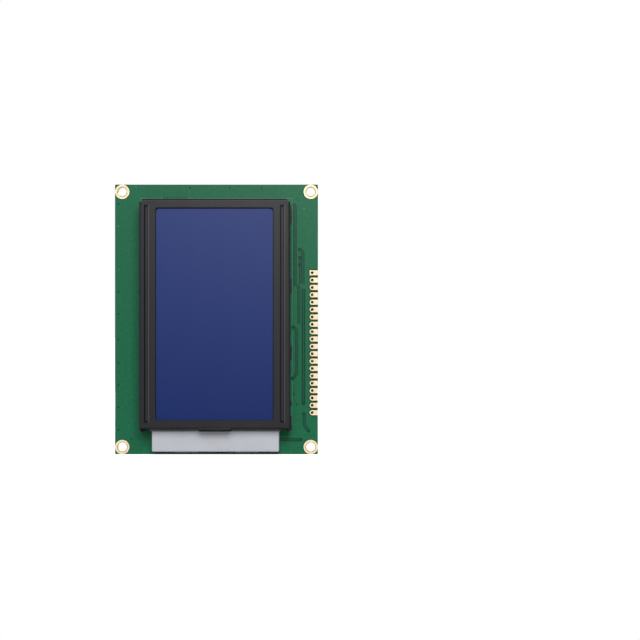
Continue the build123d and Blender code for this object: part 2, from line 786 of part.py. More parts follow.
def chip_body(height):
    """A chip: ceramic middle and two slightly larger plated ends, as one solid along X."""
    half = CHIP_LENGTH / 2
    shape = block(-half, half, land_back, land_back + height, -CHIP_WIDTH / 2, CHIP_WIDTH / 2)
    side = CHIP_WIDTH / 2 + CHIP_END_PROUD
    top = land_back + height + CHIP_END_PROUD
    for low in (-half, half - CHIP_END):
        shape = shape + block(low, low + CHIP_END, land_back, top, -side, side)
    return shape


def chip_joint(end):
    """Hollow-cheeked wedge of solder from the end of a chip down to its land."""
    near = CHIP_LENGTH / 2
    far = near + SOLDER_LENGTH
    dip = (near + SOLDER_LENGTH * SOLDER_HOLLOW, land_back + SOLDER_RISE * SOLDER_HOLLOW)
    profile = Line((near, land_back), (far, land_back))
    profile += ThreePointArc((far, land_back), dip, (near, land_back + SOLDER_RISE))
    profile += Line((near, land_back + SOLDER_RISE), (near, land_back))
    wedge = extrude(make_face(profile), amount=CHIP_WIDTH / 2, both=True)
    return wedge if end > 0 else Rot(0, 180, 0) * wedge


def chips():
    """Every fitted chip, with the lands and solder under its ends."""
    pieces = {}
    lands = []
    joints = []
    for name, x, z, lie, height in chip_places():
        pieces[name] = lay(chip_body(height), x, z, lie)
        for end in (-1, 1):
            land = panel(LAND_LENGTH, LAND_WIDTH, end * LAND_CENTRE, 0, board_back, land_back)
            lands.append(lay(land, x, z, lie))
            joints.append(lay(chip_joint(end), x, z, lie))
    return pieces, lands, joints


def bare_lands():
    """Gold-plated lands with nothing on them."""
    return [
        panel(width, height, *spot(*place), board_back, land_back)
        for *place, width, height in BARE_LANDS
    ]


def jumpers():
    """Solder bridges on their lands."""
    lands = []
    bridges = {}
    for name, (*place, width, height) in JUMPER_SPOTS.items():
        x, z = spot(*place)
        lands.append(panel(width, height, x, z, board_back, land_back))
        across = width - 2 * JUMPER_MARGIN
        along = height - 2 * JUMPER_MARGIN
        corner = min(across, along) * JUMPER_ROUND_SHARE
        outline = Pos(x, z) * RectangleRounded(across, along, corner)
        base = Plane.XZ.offset(-land_back) * outline
        bridges[name] = extrude(base, amount=-JUMPER_RISE, taper=JUMPER_TAPER)
    return lands, bridges


def blank_bar():
    """Plain gold bar near the left edge, seen from the front, on the back of the board."""
    x = -half_width + BAR_FROM_LEFT_EDGE
    return panel(BAR_WIDTH, BAR_HEIGHT, x, BAR_Z, board_back, land_back)


def model():
    """Every node of the module by name."""
    nodes = {"circuit_board": circuit_board()}
    nodes["mounting_hole_rings"] = mounting_rings()
    nodes["header_pads"] = header_pads()
    nodes["tab_slot_pads"] = tab_pads()
    nodes["lead_lands"] = lead_lands()
    nodes["bezel"] = bezel()
    nodes.update(display_cell())
    nodes.update(backlight_films())
    nodes["backlight_housing"] = housing()
    nodes.update(contact_strips())
    nodes.update(light_source())
    nodes.update(driver_chips())
    pieces, lands, joints = chips()
    nodes.update(pieces)
    jumper_lands, bridges = jumpers()
    nodes["chip_lands"] = lands + jumper_lands
    nodes["chip_solder"] = joints
    nodes["bare_lands"] = bare_lands()
    nodes.update(bridges)
    nodes["blank_copper_bar"] = blank_bar()
    return nodes


os.makedirs("parts", exist_ok=True)
for node, shape in model().items():
    pieces = shape if isinstance(shape, list) else [shape]
    solids = [solid for piece in pieces for solid in piece.solids()]
    whole = solids[0] if len(solids) == 1 else Compound(solids)
    export_step(whole, f"parts/{node}.step")
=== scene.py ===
"""Looks of the graphic display module: finishes, tracks, print and dressed parts on the solids."""

from __future__ import annotations

import json
import logging
import math
from dataclasses import dataclass
from enum import Enum

import bpy
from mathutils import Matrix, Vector

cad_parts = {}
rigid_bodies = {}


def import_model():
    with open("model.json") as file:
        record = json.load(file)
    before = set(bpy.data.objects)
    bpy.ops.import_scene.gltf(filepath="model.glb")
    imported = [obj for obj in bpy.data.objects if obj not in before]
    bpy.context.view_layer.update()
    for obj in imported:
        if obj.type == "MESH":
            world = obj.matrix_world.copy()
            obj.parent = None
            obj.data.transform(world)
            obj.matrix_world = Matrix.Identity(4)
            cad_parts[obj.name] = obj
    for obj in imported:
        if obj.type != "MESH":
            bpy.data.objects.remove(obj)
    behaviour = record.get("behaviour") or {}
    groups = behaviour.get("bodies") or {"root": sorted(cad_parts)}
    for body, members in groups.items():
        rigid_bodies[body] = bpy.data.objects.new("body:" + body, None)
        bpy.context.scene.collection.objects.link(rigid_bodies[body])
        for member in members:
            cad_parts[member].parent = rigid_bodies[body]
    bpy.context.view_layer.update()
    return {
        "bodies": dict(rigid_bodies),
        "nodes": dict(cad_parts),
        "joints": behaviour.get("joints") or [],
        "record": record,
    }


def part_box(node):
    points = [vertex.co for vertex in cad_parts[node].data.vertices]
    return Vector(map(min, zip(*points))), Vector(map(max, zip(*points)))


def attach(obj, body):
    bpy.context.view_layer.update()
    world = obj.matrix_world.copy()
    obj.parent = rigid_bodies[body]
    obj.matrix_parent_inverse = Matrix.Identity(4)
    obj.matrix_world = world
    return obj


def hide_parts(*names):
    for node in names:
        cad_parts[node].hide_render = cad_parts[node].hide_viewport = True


# A millimetre in metres, a size that is as good as none, and a quarter turn in radians.
MM = 0.001
TINY = 1e-5
QUARTER = math.pi / 2
LOG = logging.getLogger("display_module")

Colour = tuple[float, float, float, float]
Point = tuple[float, float]
Run = list[Point]
Stops = dict[float, str]
Tree = bpy.types.NodeTree
Node = bpy.types.Node
Socket = bpy.types.NodeSocket

# Node types and settings that the finishes use again and again.
MATH = "ShaderNodeMath"
MIX = "ShaderNodeMix"
RANGE = "ShaderNodeMapRange"
RAMP = "ShaderNodeValToRGB"
ABOVE = {"operation": "GREATER_THAN"}
BELOW = {"operation": "LESS_THAN"}
TIMES = {"operation": "MULTIPLY"}
UNSIGNED = {"operation": "ABSOLUTE"}
LARGER = {"operation": "MAXIMUM"}
COLOURS = {"data_type": "RGBA"}
NUMBERS = {"data_type": "FLOAT"}
# Noise seldom leaves its middle, so its two shades are reached here.
LOW_STOP = 0.3
HIGH_STOP = 0.7
# Blender's wave texture repeats after this share of its scale's unit.
WAVE_PERIOD = 0.31
# A face of a flat board looks along Y, so its normal's Y is past this.
FACING = 0.5


def linear(hex_colour: str) -> Colour:
    """Turn an sRGB hex value into the linear colour that shaders take.

    Args:
        hex_colour: six hex digits with a leading hash.

    Returns:
        Red, green, blue and alpha, linear.
    """
    parts = [int(hex_colour[i : i + 2], 16) / 255 for i in (1, 3, 5)]
    red, green, blue = (p / 12.92 if p <= 0.04045 else ((p + 0.055) / 1.055) ** 2.4 for p in parts)
    return red, green, blue, 1.0


def set_stops(ramp: bpy.types.ColorRamp, stops: Stops) -> None:
    """Give a colour ramp its stops.

    Args:
        ramp: the ramp, which starts with two stops.
        stops: place from 0 to 1 and its hex colour.
    """
    places = sorted(stops)
    ramp.elements[0].position, ramp.elements[1].position = places[0], places[-1]
    for place in places[1:-1]:
        ramp.elements.new(place)
    for element, place in zip(ramp.elements, places):
        element.color = linear(stops[place])


def add_node(
    tree: Tree,
    kind: str,
    settings: dict[str, object] | None = None,
    inputs: dict[str | int, object] | None = None,
) -> Node:
    """Add a node, set it and link it.

    Args:
        tree: node tree of the material or world.
        kind: Blender's name of the node type.
        settings: properties of the node by name; stops holds the colours of a ramp.
        inputs: input by name or number, each with a value, or a socket that is linked to it.

    Returns:
        The new node.
    """
    node = tree.nodes.new(kind)
    for key, value in (settings or {}).items():
        if key == "stops":
            set_stops(node.color_ramp, value)
        else:
            setattr(node, key, value)
    for key, value in (inputs or {}).items():
        if isinstance(value, Socket):
            tree.links.new(value, node.inputs[key])
        else:
            node.inputs[key].default_value = value
    return node


@dataclass(frozen=True)
class Finish:
    """What every finish has: a name, a base colour and how it takes light."""

    name: str
    colour: str
    roughness: float = 0.5
    metallic: float = 0.0
    coat: float = 0.0
    coat_roughness: float = 0.1
    specular: float = 0.5

    def material(self) -> bpy.types.Material:
        """Build the material once and give the same one on every later call.

        Returns:
            The material.
        """
        found = bpy.data.materials.get(self.name)
        if found:
            return found
        made = bpy.data.materials.new(self.name)
        made.use_nodes = True
        made.diffuse_color = linear(self.colour)
        tree = made.node_tree
        shader = tree.nodes["Principled BSDF"]
        constants = {
            "Base Color": linear(self.colour),
            "Roughness": self.roughness,
            "Metallic": self.metallic,
            "Coat Weight": self.coat,
            "Coat Roughness": self.coat_roughness,
            "Specular IOR Level": self.specular,
        }
        for socket, value in constants.items():
            shader.inputs[socket].default_value = value
        self.detail(tree, shader, add_node(tree, "ShaderNodeTexCoord"))
        return made

    def detail(self, tree: Tree, shader: Node, place: Node) -> None:
        """Add what the surface shows beyond its plain colour."""

    def mottle(
        self, tree: Tree, place: Node, lump_mm: float, low: str, high: str, layers: float = 3.0
    ) -> Socket:
        """Let the shade wander between two near colours, in lumps of a real size.

        Args:
            tree: node tree.
            place: texture coordinate node.
            lump_mm: size of one lump in millimetres.
            low: one shade.
            high: the other shade.
            layers: how many finer layers lie on the lumps.

        Returns:
            The colour.
        """
        scale = 1 / (lump_mm * MM)
        lumps = add_node(
            tree,
            "ShaderNodeTexNoise",
            inputs={"Vector": place.outputs["Object"], "Scale": scale, "Detail": layers},
        )
        stops = {LOW_STOP: low, HIGH_STOP: high}
        shade = add_node(tree, RAMP, {"stops": stops}, {"Fac": lumps.outputs["Fac"]})
        return shade.outputs["Color"]

    def roughen(
        self,
        tree: Tree,
        shader: Node,
        place: Node,
        lump_mm: float,
        depth_mm: float,
        layers: float = 3.0,
    ) -> None:
        """Raise the skin in lumps of a real size and depth.

        Args:
            tree: node tree.
            shader: the surface shader.
            place: texture coordinate node.
            lump_mm: size of one lump in millimetres.
            depth_mm: height of one lump in millimetres.
            layers: how many finer layers lie on the lumps.
        """
        scale = 1 / (lump_mm * MM)
        lumps = add_node(
            tree,
            "ShaderNodeTexNoise",
            inputs={"Vector": place.outputs["Object"], "Scale": scale, "Detail": layers},
        )
        heights = {"Height": lumps.outputs["Fac"], "Distance": depth_mm * MM, "Strength": 1.0}
        skin = add_node(tree, "ShaderNodeBump", inputs=heights)
        tree.links.new(skin.outputs["Normal"], shader.inputs["Normal"])


@dataclass(frozen=True)
class SolderMask(Finish):
    """Satin green mask over glass cloth, finely mottled; the cut rim shows bare laminate."""

    dark: str = "#186143"
    light: str = "#1f6a49"
    # Darker greens for the back face: painted shade.
    shaded_back_low: str = ""
    shaded_back_high: str = ""
    cut_low: str = "#66784e"
    cut_high: str = "#8f9a66"
    mottle_mm: float = 1.1
    mottle_layers: float = 4.0
    fibre_mm: float = 0.4
    weave_mm: float = 0.9
    weave_depth_mm: float = 0.003
    weave_wander: float = 0.4

    def green(self, tree: Tree, place: Node, facing: Socket) -> Socket:
        """The mask's green, with a darker copy on the back as painted shade where two more shades
        are given.

        Args:
            tree: node tree.
            place: texture coordinate node.
            facing: how far the surface looks along +Y.

        Returns:
            The colour.
        """
        front = self.mottle(tree, place, self.mottle_mm, self.dark, self.light, self.mottle_layers)
        if not self.shaded_back_low:
            return front
        back_green_shaded = self.mottle(
            tree, place, self.mottle_mm, self.shaded_back_low, self.shaded_back_high, self.mottle_layers
        )
        behind = add_node(tree, MATH, ABOVE, {0: facing, 1: FACING}).outputs[0]
        both = {"Factor": behind, "A": front, "B": back_green_shaded}
        return add_node(tree, MIX, COLOURS, both).outputs["Result"]

    def detail(self, tree: Tree, shader: Node, place: Node) -> None:
        """Mottled green, cut laminate on the rim, and the cloth's weave.

        The real weave is near 0.4 mm; it is drawn as coarse as it needs to show.

        Args:
            tree: node tree.
            shader: the surface shader.
            place: texture coordinate node.
        """
        split = add_node(tree, "ShaderNodeSeparateXYZ", inputs={"Vector": place.outputs["Normal"]})
        facing = split.outputs["Y"]
        green = self.green(tree, place, facing)
        cut = self.mottle(tree, place, self.fibre_mm, self.cut_low, self.cut_high)
        size = add_node(tree, MATH, UNSIGNED, {0: facing}).outputs[0]
        rim = add_node(tree, MATH, BELOW, {0: size, 1: FACING}).outputs[0]
        whole = add_node(tree, MIX, COLOURS, {"Factor": rim, "A": green, "B": cut})
        tree.links.new(whole.outputs["Result"], shader.inputs["Base Color"])
        waves = {
            "Vector": place.outputs["Object"],
            "Scale": WAVE_PERIOD / (self.weave_mm * MM),
            "Distortion": self.weave_wander,
        }
        threads = [
            add_node(tree, "ShaderNodeTexWave", {"bands_direction": axis}, waves).outputs["Fac"]
            for axis in ("X", "Z")
        ]
        cloth = add_node(tree, MATH, TIMES, {0: threads[0], 1: threads[1]}).outputs[0]
        heights = {"Height": cloth, "Distance": self.weave_depth_mm * MM, "Strength": 1.0}
        skin = add_node(tree, "ShaderNodeBump", inputs=heights)
        tree.links.new(skin.outputs["Normal"], shader.inputs["Normal"])


@dataclass(frozen=True)
class Mottled(Finish):
    """A surface whose shade wanders a little and whose skin has a fine grain, at real sizes.

    Grain finer than the render can show is drawn as coarse as it needs to show.
    """

    low: str = "#b9bac4"
    high: str = "#c8c9d2"
    cloud_mm: float = 8.0
    grain_mm: float = 0.25
    grain_depth_mm: float = 0.004

    def detail(self, tree: Tree, shader: Node, place: Node) -> None:
        """Slow change of shade and a fine grain.

        Args:
            tree: node tree.
            shader: the surface shader.
            place: texture coordinate node.
        """
        shade = self.mottle(tree, place, self.cloud_mm, self.low, self.high)
        tree.links.new(shade, shader.inputs["Base Color"])
        self.roughen(tree, shader, place, self.grain_mm, self.grain_depth_mm)


@dataclass(frozen=True)
class Polariser(Finish):
    """Blue polarising film on glass: a smooth deep blue, painted lighter towards the top as a
    reflection of the lamp above.
    """

    low: str = "#152962"
    high: str = "#2b3a71"
    # Heights in millimetres over which the painted reflection lightens the blue.
    foot_mm: float = -34.0
    head_mm: float = 38.0
    wave_mm: float = 9.0
    wave_depth_mm: float = 0.004

    def detail(self, tree: Tree, shader: Node, place: Node) -> None:
        """Paint the blue lighter towards the top as a reflection, and let the film wave a little.

        Args:
            tree: node tree.
            shader: the surface shader.
            place: texture coordinate node.
        """
        split = add_node(tree, "ShaderNodeSeparateXYZ", inputs={"Vector": place.outputs["Object"]})
        span = {
            "Value": split.outputs["Z"],
            "From Min": self.foot_mm * MM,
            "From Max": self.head_mm * MM,
        }
        up = add_node(tree, RANGE, inputs=span).outputs["Result"]
        blue = add_node(tree, RAMP, {"stops": {0.0: self.low, 1.0: self.high}}, {"Fac": up})
        tree.links.new(blue.outputs["Color"], shader.inputs["Base Color"])
        self.roughen(tree, shader, place, self.wave_mm, self.wave_depth_mm, 1.0)


@dataclass(frozen=True)
class GroovedPaint(Finish):
    """Satin black paint on steel, with painted shade: black in grooves and folds and on the tongue,
    with painted highlights on groove edges and the lip.

    The lines give each groove's painted shade, painted highlight and share of shine at a distance
    in millimetres from its middle.
    """

    plain: str = "#212124"
    # Black painted as shade into pits, folds and the tongue.
    painted_shadow_black: str = "#030304"
    # Pale grey painted on the lip as light falling on it.
    painted_lip_grey: str = "#707076"
    white: str = "#ffffff"
    cloud_low: str = "#1f1f22"
    cloud_high: str = "#242427"
    cloud_mm: float = 5.0
    skin_mm: float = 0.45
    skin_depth_mm: float = 0.006
    fold_specular: float = 0.03
    grooves: tuple[float, float] = (-23.0, 23.0)
    # Each line: distance from the groove's middle, painted shade or highlight, and share of shine,
    # cut where a shadow is painted.
    lines: tuple[tuple[float, str, str], ...] = (
        (-0.95, "#212124", "#ffffff"),
        (-0.57, "#030304", "#101010"),
        (-0.22, "#29292d", "#ffffff"),
        (0.12, "#232327", "#ffffff"),
        (0.34, "#0e0e10", "#808080"),
        (0.62, "#47464c", "#ffffff"),
        (1.0, "#212124", "#ffffff"),
    )
    half_span: float = 26.0
    low_end: float = -34.9
    high_end: float = 38.7
    # Half widths of the tongue, painted black as shade, and of the lip, painted pale as light, and
    # the height below which both lie.
    half_tongue: float = 5.45
    half_lip: float = 22.4
    lip_z: float = -37.5
    # Depths in millimetres over which the painted shade of pits and folds sets in and fades off the
    # walls.
    face_y: float = -8.79
    fold_depth: float = 0.22
    fold_y: float = -8.4
    wall_y: float = -7.2

    def painted_groove_shading(self, tree: Tree, x: Socket, z: Socket) -> tuple[Socket, Socket, Socket]:
        """Paint the shadow and highlight lines that run along both grooves.

        Args:
            tree: node tree.
            x: place across the bezel.
            z: place up the bezel.

        Returns:
            The lines' colour, their share of the shine, and where a groove's length lies.
        """
        half = self.half_span * MM
        across = add_node(tree, RANGE, inputs={"Value": x, "From Min": -half, "From Max": half})
        shades = {0.0: self.plain, 1.0: self.plain}
        shines = {0.0: self.white, 1.0: self.white}
        for groove in self.grooves:
            for away, shade, shine in self.lines:
                share = (groove + away + self.half_span) / (2 * self.half_span)
                shades[share] = shade
                shines[share] = shine
        place = {"Fac": across.outputs["Result"]}
        colour, gloss = (
            add_node(tree, RAMP, {"stops": stops}, place).outputs["Color"]
            for stops in (shades, shines)
        )
        above = add_node(tree, MATH, ABOVE, {0: z, 1: self.low_end * MM}).outputs[0]
        below = add_node(tree, MATH, BELOW, {0: z, 1: self.high_end * MM}).outputs[0]
        return colour, gloss, add_node(tree, MATH, TIMES, {0: above, 1: below}).outputs[0]

    def folds(self, tree: Tree, y: Socket, z: Socket) -> Socket:
        """Work out how much painted shade a place gets: sunk in a pit or round a fold, and not yet
        on a wall.

        Args:
            tree: node tree.
            y: depth of the place.
            z: height of the place.

        Returns:
            Share of the painted shade, from 0 to 1.
        """
        depth = {
            "Value": y,
            "From Min": self.face_y * MM,
            "From Max": (self.face_y + self.fold_depth) * MM,
        }
        sunk = add_node(tree, RANGE, inputs=depth).outputs["Result"]
        upper = add_node(tree, MATH, ABOVE, {0: z, 1: self.lip_z * MM}).outputs[0]
        above_lip = add_node(tree, MATH, TIMES, {0: sunk, 1: upper}).outputs[0]
        fade = {
            "Value": y,
            "From Min": self.fold_y * MM,
            "From Max": self.wall_y * MM,
            "To Min": 1.0,
            "To Max": 0.0,
        }
        off_wall = add_node(tree, RANGE, inputs=fade).outputs["Result"]
        return add_node(tree, MATH, TIMES, {0: above_lip, 1: off_wall}).outputs[0]

    def detail(self, tree: Tree, shader: Node, place: Node) -> None:
        """Painted shade and highlight lines along the grooves, painted black shade in folds and on
        the tongue, a painted highlight on the lip, and a fine skin.

        Args:
            tree: node tree.
            shader: the surface shader.
            place: texture coordinate node.
        """
        split = add_node(tree, "ShaderNodeSeparateXYZ", inputs={"Vector": place.outputs["Object"]})
        x, y, z = (split.outputs[axis] for axis in "XYZ")
        lines, gloss, within = self.painted_groove_shading(tree, x, z)
        cloud = self.mottle(tree, place, self.cloud_mm, self.cloud_low, self.cloud_high)
        striped = {"Factor": within, "A": cloud, "B": lines}
        face = add_node(tree, MIX, COLOURS, striped).outputs["Result"]
        lower = add_node(tree, MATH, BELOW, {0: z, 1: self.lip_z * MM}).outputs[0]
        aside = add_node(tree, MATH, UNSIGNED, {0: x}).outputs[0]
        near = [
            add_node(tree, MATH, BELOW, {0: aside, 1: half * MM}).outputs[0]
            for half in (self.half_tongue, self.half_lip)
        ]
        tongue, lip = (
            add_node(tree, MATH, TIMES, {0: lower, 1: middle}).outputs[0] for middle in near
        )
        # Painted shade: black in pits and folds, and on the tongue at the bezel's foot.
        dark = add_node(tree, MATH, LARGER, {0: self.folds(tree, y, z), 1: tongue}).outputs[0]
        painted_lip_grey, painted_shadow_black, white = (linear(shade) for shade in (self.painted_lip_grey, self.painted_shadow_black, self.white))
        # Painted light: the lip is pale grey, except on the tongue.
        lip_lit_face = add_node(tree, MIX, COLOURS, {"Factor": lip, "A": face, "B": painted_lip_grey})
        coated = {"Factor": dark, "A": lip_lit_face.outputs["Result"], "B": painted_shadow_black}
        shade = add_node(tree, MIX, COLOURS, coated)
        tree.links.new(shade.outputs["Result"], shader.inputs["Base Color"])
        shine = add_node(tree, MIX, COLOURS, {"Factor": within, "A": white, "B": gloss})
        # The sheen drops under the painted shade, so it stays black.
        drop = {"Value": dark, "To Min": self.specular, "To Max": self.fold_specular}
        sheen = add_node(tree, RANGE, inputs=drop).outputs["Result"]
        level = add_node(tree, MATH, TIMES, {0: sheen, 1: shine.outputs["Result"]}).outputs[0]
        tree.links.new(level, shader.inputs["Specular IOR Level"])
        self.roughen(tree, shader, place, self.skin_mm, self.skin_depth_mm)


@dataclass(frozen=True)
class ChipFinish(Finish):
    """A chip: ceramic middle and tinned ends, told apart by the distance from its own middle."""

    roughness: float = 0.4
    specular: float = 0.3
    axis: str = "X"
    middle: float = 0.0
    half_body: float = 0.55 * MM
    end_low: str = "#cfcfcb"
    end_high: str = "#ecebe4"
    low: str = "#121214"
    high: str = "#1f1f22"
    cloud_mm: float = 0.5
    skin_mm: float = 0.6
    skin_depth_mm: float = 0.003

    def detail(self, tree: Tree, shader: Node, place: Node) -> None:
        """Ceramic grain in the middle, bright tin at both ends.

        Args:
            tree: node tree.
            shader: the surface shader.
            place: texture coordinate node.
        """
        split = add_node(tree, "ShaderNodeSeparateXYZ", inputs={"Vector": place.outputs["Object"]})
        along = {0: split.outputs[self.axis], 1: self.middle}
        away = add_node(tree, MATH, {"operation": "SUBTRACT"}, along).outputs[0]
        far = add_node(tree, MATH, UNSIGNED, {0: away}).outputs[0]
        end = add_node(tree, MATH, ABOVE, {0: far, 1: self.half_body}).outputs[0]
        body = self.mottle(tree, place, self.cloud_mm, self.low, self.high)
        tin = self.mottle(tree, place, self.cloud_mm, self.end_low, self.end_high)
        whole = add_node(tree, MIX, COLOURS, {"Factor": end, "A": body, "B": tin})
        tree.links.new(whole.outputs["Result"], shader.inputs["Base Color"])
        self.roughen(tree, shader, place, self.skin_mm, self.skin_depth_mm)


# Green solder mask, curtain-coated on glass-fibre board: even satin green, painted darker on the
# back as shade.
MASK = SolderMask(
    "green_solder_mask",
    "#1b6646",
    roughness=0.4,
    specular=0.13,
    shaded_back_low="#0d583b",
    shaded_back_high="#136143",
)
# Mask over bare laminate, where no copper lies under it: a dark green line.
TRACK_EDGE = SolderMask(
    "mask_beside_track", "#0f3828", roughness=0.45, specular=0.12, dark="#0e3526", light="#133d2c"
)
# Mask over a wide copper track: a raised strip, greyer than the ground.
TRACK = SolderMask(
    "mask_over_track", "#1a503b", roughness=0.4, specular=0.14, dark="#184d38", light="#1d553f"
)
# Mask over tracks that run in a bundle: hardly paler than the ground.
BUNDLE_TRACK = SolderMask(
    "mask_over_bundled_track",
    "#17573e",
    roughness=0.4,
    specular=0.12,
    dark="#14523a",
    light="#1a5c42",
)
# Mask between fine tracks: a thin dark green line.
FINE_GAP = SolderMask(
    "mask_beside_fine_track",
    "#124331",
    roughness=0.45,
    specular=0.12,
    dark="#10402e",
    light="#164835",
)
# Mask over fine tracks, where it is thinnest: the palest green.
FINE_TRACK = SolderMask(
    "mask_over_fine_track", "#28644c", roughness=0.4, specular=0.12, dark="#256048", light="#2c6951"
)
# Edge of the mask's opening round a land: bare laminate with the mask step's shadow painted in,
# nearly black.
PAD_EDGE_SHADOW = Mottled(
    "mask_edge_painted_shadow",
    "#1d2c17",
    roughness=0.5,
    specular=0.1,
    low="#182613",
    high="#27361e",
    cloud_mm=1.0,
)
# Immersion gold on copper, seen under soft white light: pale cream, hardly mirrored.
GOLD = Mottled(
    "gold_plated_copper",
    "#f4e6c2",
    roughness=0.45,
    metallic=0.15,
    specular=0.2,
    low="#ecd9aa",
    high="#f8edcd",
    cloud_mm=1.4,
    grain_mm=0.12,
    grain_depth_mm=0.005,
)
# Copper bar with its plating worn: dull olive.
BAR_GOLD = Mottled(
    "dull_copper_bar",
    "#84794f",
    roughness=0.45,
    metallic=0.1,
    low="#756b46",
    high="#90855c",
    cloud_mm=0.9,
)
# Raised gold lip round a mounting hole, painted brown as the shade of the hole's wall.
SHADED_GOLD_LIP = Mottled(
    "gold_lip_painted_shade",
    "#a98f62",
    roughness=0.5,
    metallic=0.5,
    low="#8f7850",
    high="#c0a677",
    cloud_mm=0.8,
)
# Dark brown ring inside each header hole: painted shade of the hole's depth.
HOLE_PAINTED_SHADE = Mottled(
    "painted_shade_in_holes", "#35261a", roughness=0.6, low="#241a12", high="#47341f", cloud_mm=0.4
)
# Satin black enamel on folded steel: charcoal face, with black painted shade in pits, folds and
# grooves and on the tongue, and painted highlights on groove edges and the lip.
PAINT = GroovedPaint("satin_black_paint", "#212124", roughness=0.44, specular=0.24)
# Black painted shadow of the bezel's edge, laid on the film: no shine.
WINDOW_SHADOW = Mottled(
    "window_painted_shadow", "#0a0b12", roughness=0.5, specular=0.1, low="#08090e", high="#0d0e16"
)
# Blue polarising film with an anti-glare skin: deep blue with a wide soft sheen, painted lighter
# towards the top as a reflection.
BLUE_FILM = Polariser("blue_polariser_film", "#1f3370", roughness=0.42, specular=0.15)
# Moulded white polycarbonate: cool pale grey in the shade of the bezel.
WHITE_MOULDING = Mottled(
    "white_moulded_plastic", "#b9bbc2", roughness=0.42, low="#b3b5bc", high="#bfc1c8", cloud_mm=14.0
)
# Float glass seen through its edge: grey green, glossy.
GLASS_EDGE = Mottled(
    "float_glass", "#5e7d78", roughness=0.12, low="#56746f", high="#668681", coat=0.4
)
# Stretched polyester film: even milky white.
OPTICAL_FILM = Mottled(
    "white_optical_film", "#dedfe0", roughness=0.5, low="#d6d7d8", high="#e4e5e6"
)
# Cast acrylic: pale and glossy.
ACRYLIC = Mottled(
    "clear_acrylic", "#c9d2d4", roughness=0.15, low="#c2cbcd", high="#d0d8da", coat=0.5
)
# Moulded silicone with conducting layers: matt dark grey.
ELASTOMER = Mottled("conductive_silicone", "#5a5b60", roughness=0.7, low="#505156", high="#65666b")
# Epoxy bead between the panes: matt charcoal.
SEAL = Mottled("epoxy_seal", "#3a3b40", roughness=0.6, low="#333438", high="#434449")
# Sawn and polished silicon: glossy blue grey.
SILICON = Mottled("bare_silicon", "#50545c", roughness=0.25, low="#484c54", high="#5a5e66")
# Epoxy poured over a chip: black, with the low ripples of a cast skin.
RESIN = Mottled(
    "black_encapsulating_resin",
    "#0a0a0b",
    roughness=0.4,
    specular=0.18,
    low="#09090a",
    high="#101012",
    cloud_mm=2.0,
    grain_mm=0.9,
    grain_depth_mm=0.022,
)
# Reflowed solder on a chip's lands: light grey, half mirrored.
SOLDER = Mottled(
    "tin_solder",
    "#d8dadc",
    roughness=0.22,
    metallic=0.6,
    low="#c8cbcd",
    high="#eceef0",
    cloud_mm=0.6,
    grain_mm=0.5,
    grain_depth_mm=0.004,
)
# Solder applied by hand round a lead: a mirror with dull flecks.
BRIGHT_SOLDER = Mottled(
    "bright_tin_solder",
    "#d4d6d8",
    roughness=0.14,
    metallic=1.0,
    low="#8a8781",
    high="#ffffff",
    cloud_mm=0.8,
    grain_mm=0.9,
    grain_depth_mm=0.02,
)
# Tinned copper wire: light grey metal.
TINNED = Mottled(
    "tinned_copper",
    "#cfd0d2",
    roughness=0.32,
    metallic=1.0,
    low="#bfc2c4",
    high="#e0e2e4",
    cloud_mm=0.9,
    grain_mm=0.5,
    grain_depth_mm=0.004,
)
# Tin that wetted a gold land: warm white.
TINNED_LAND = Mottled(
    "tinned_land",
    "#e6e1d2",
    roughness=0.4,
    metallic=0.1,
    specular=0.3,
    low="#d9d3c0",
    high="#f1ede0",
    cloud_mm=0.7,
    grain_mm=0.5,
    grain_depth_mm=0.004,
)
# Burnt tin and flux round the leads: brown black.
DARK_TIN = Mottled(
    "oxidised_tin", "#3b3833", roughness=0.4, low="#2a2824", high="#4c4841", cloud_mm=0.6
)
# Diode cast in yellowish resin: a pale straw colour.
DIODE = Mottled("diode_body", "#e6dca8", roughness=0.35, low="#ddd29a", high="#efe6b8")
# Screen-printed white ink: matt, a little green where it is thin.
WHITE_INK = Mottled(
    "white_legend_ink", "#d6ece0", roughness=0.6, low="#cbe4d6", high="#e4f3ea", cloud_mm=2.0
)
# The same ink worn thin: a pale green haze.
FAINT_INK = Mottled(
    "faint_legend_ink", "#3f7a5e", roughness=0.5, low="#366f54", high="#4a8569", cloud_mm=3.0
)

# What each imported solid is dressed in, by its whole name, by its ending or by its start.
NODE_FINISH: dict[str, Finish] = {
    "circuit_board": MASK,
    "led_board": MASK,
    "mounting_hole_rings": GOLD,
    "header_pads": GOLD,
    "tab_slot_pads": GOLD,
    "lead_lands": DARK_TIN,
    "chip_lands": TINNED_LAND,
    "bare_lands": GOLD,
    "blank_copper_bar": BAR_GOLD,
    "bezel": PAINT,
    "front_polariser": BLUE_FILM,
    "rear_polariser": OPTICAL_FILM,
    "front_glass": GLASS_EDGE,
    "rear_glass": GLASS_EDGE,
    "liquid_crystal_layer": GLASS_EDGE,
    "cell_seal": SEAL,
    "diffuser_film": OPTICAL_FILM,
    "reflector_film": OPTICAL_FILM,
    "light_guide": ACRYLIC,
    "backlight_housing": WHITE_MOULDING,
    "left_contact_strip": ELASTOMER,
    "right_contact_strip": ELASTOMER,
    "chip_solder": SOLDER,
}
NODE_ENDINGS: dict[str, Finish] = {
    "_lead": TINNED,
    "_solder": BRIGHT_SOLDER,
    "_die": SILICON,
    "_cap": RESIN,
}
NODE_STARTS: dict[str, Finish] = {"backlight_led_": DIODE}


@dataclass(frozen=True)
class ChipKind:
    """One kind of chip: two shades of its middle, and half the middle's length in millimetres."""

    low: str
    high: str
    half_body_mm: float


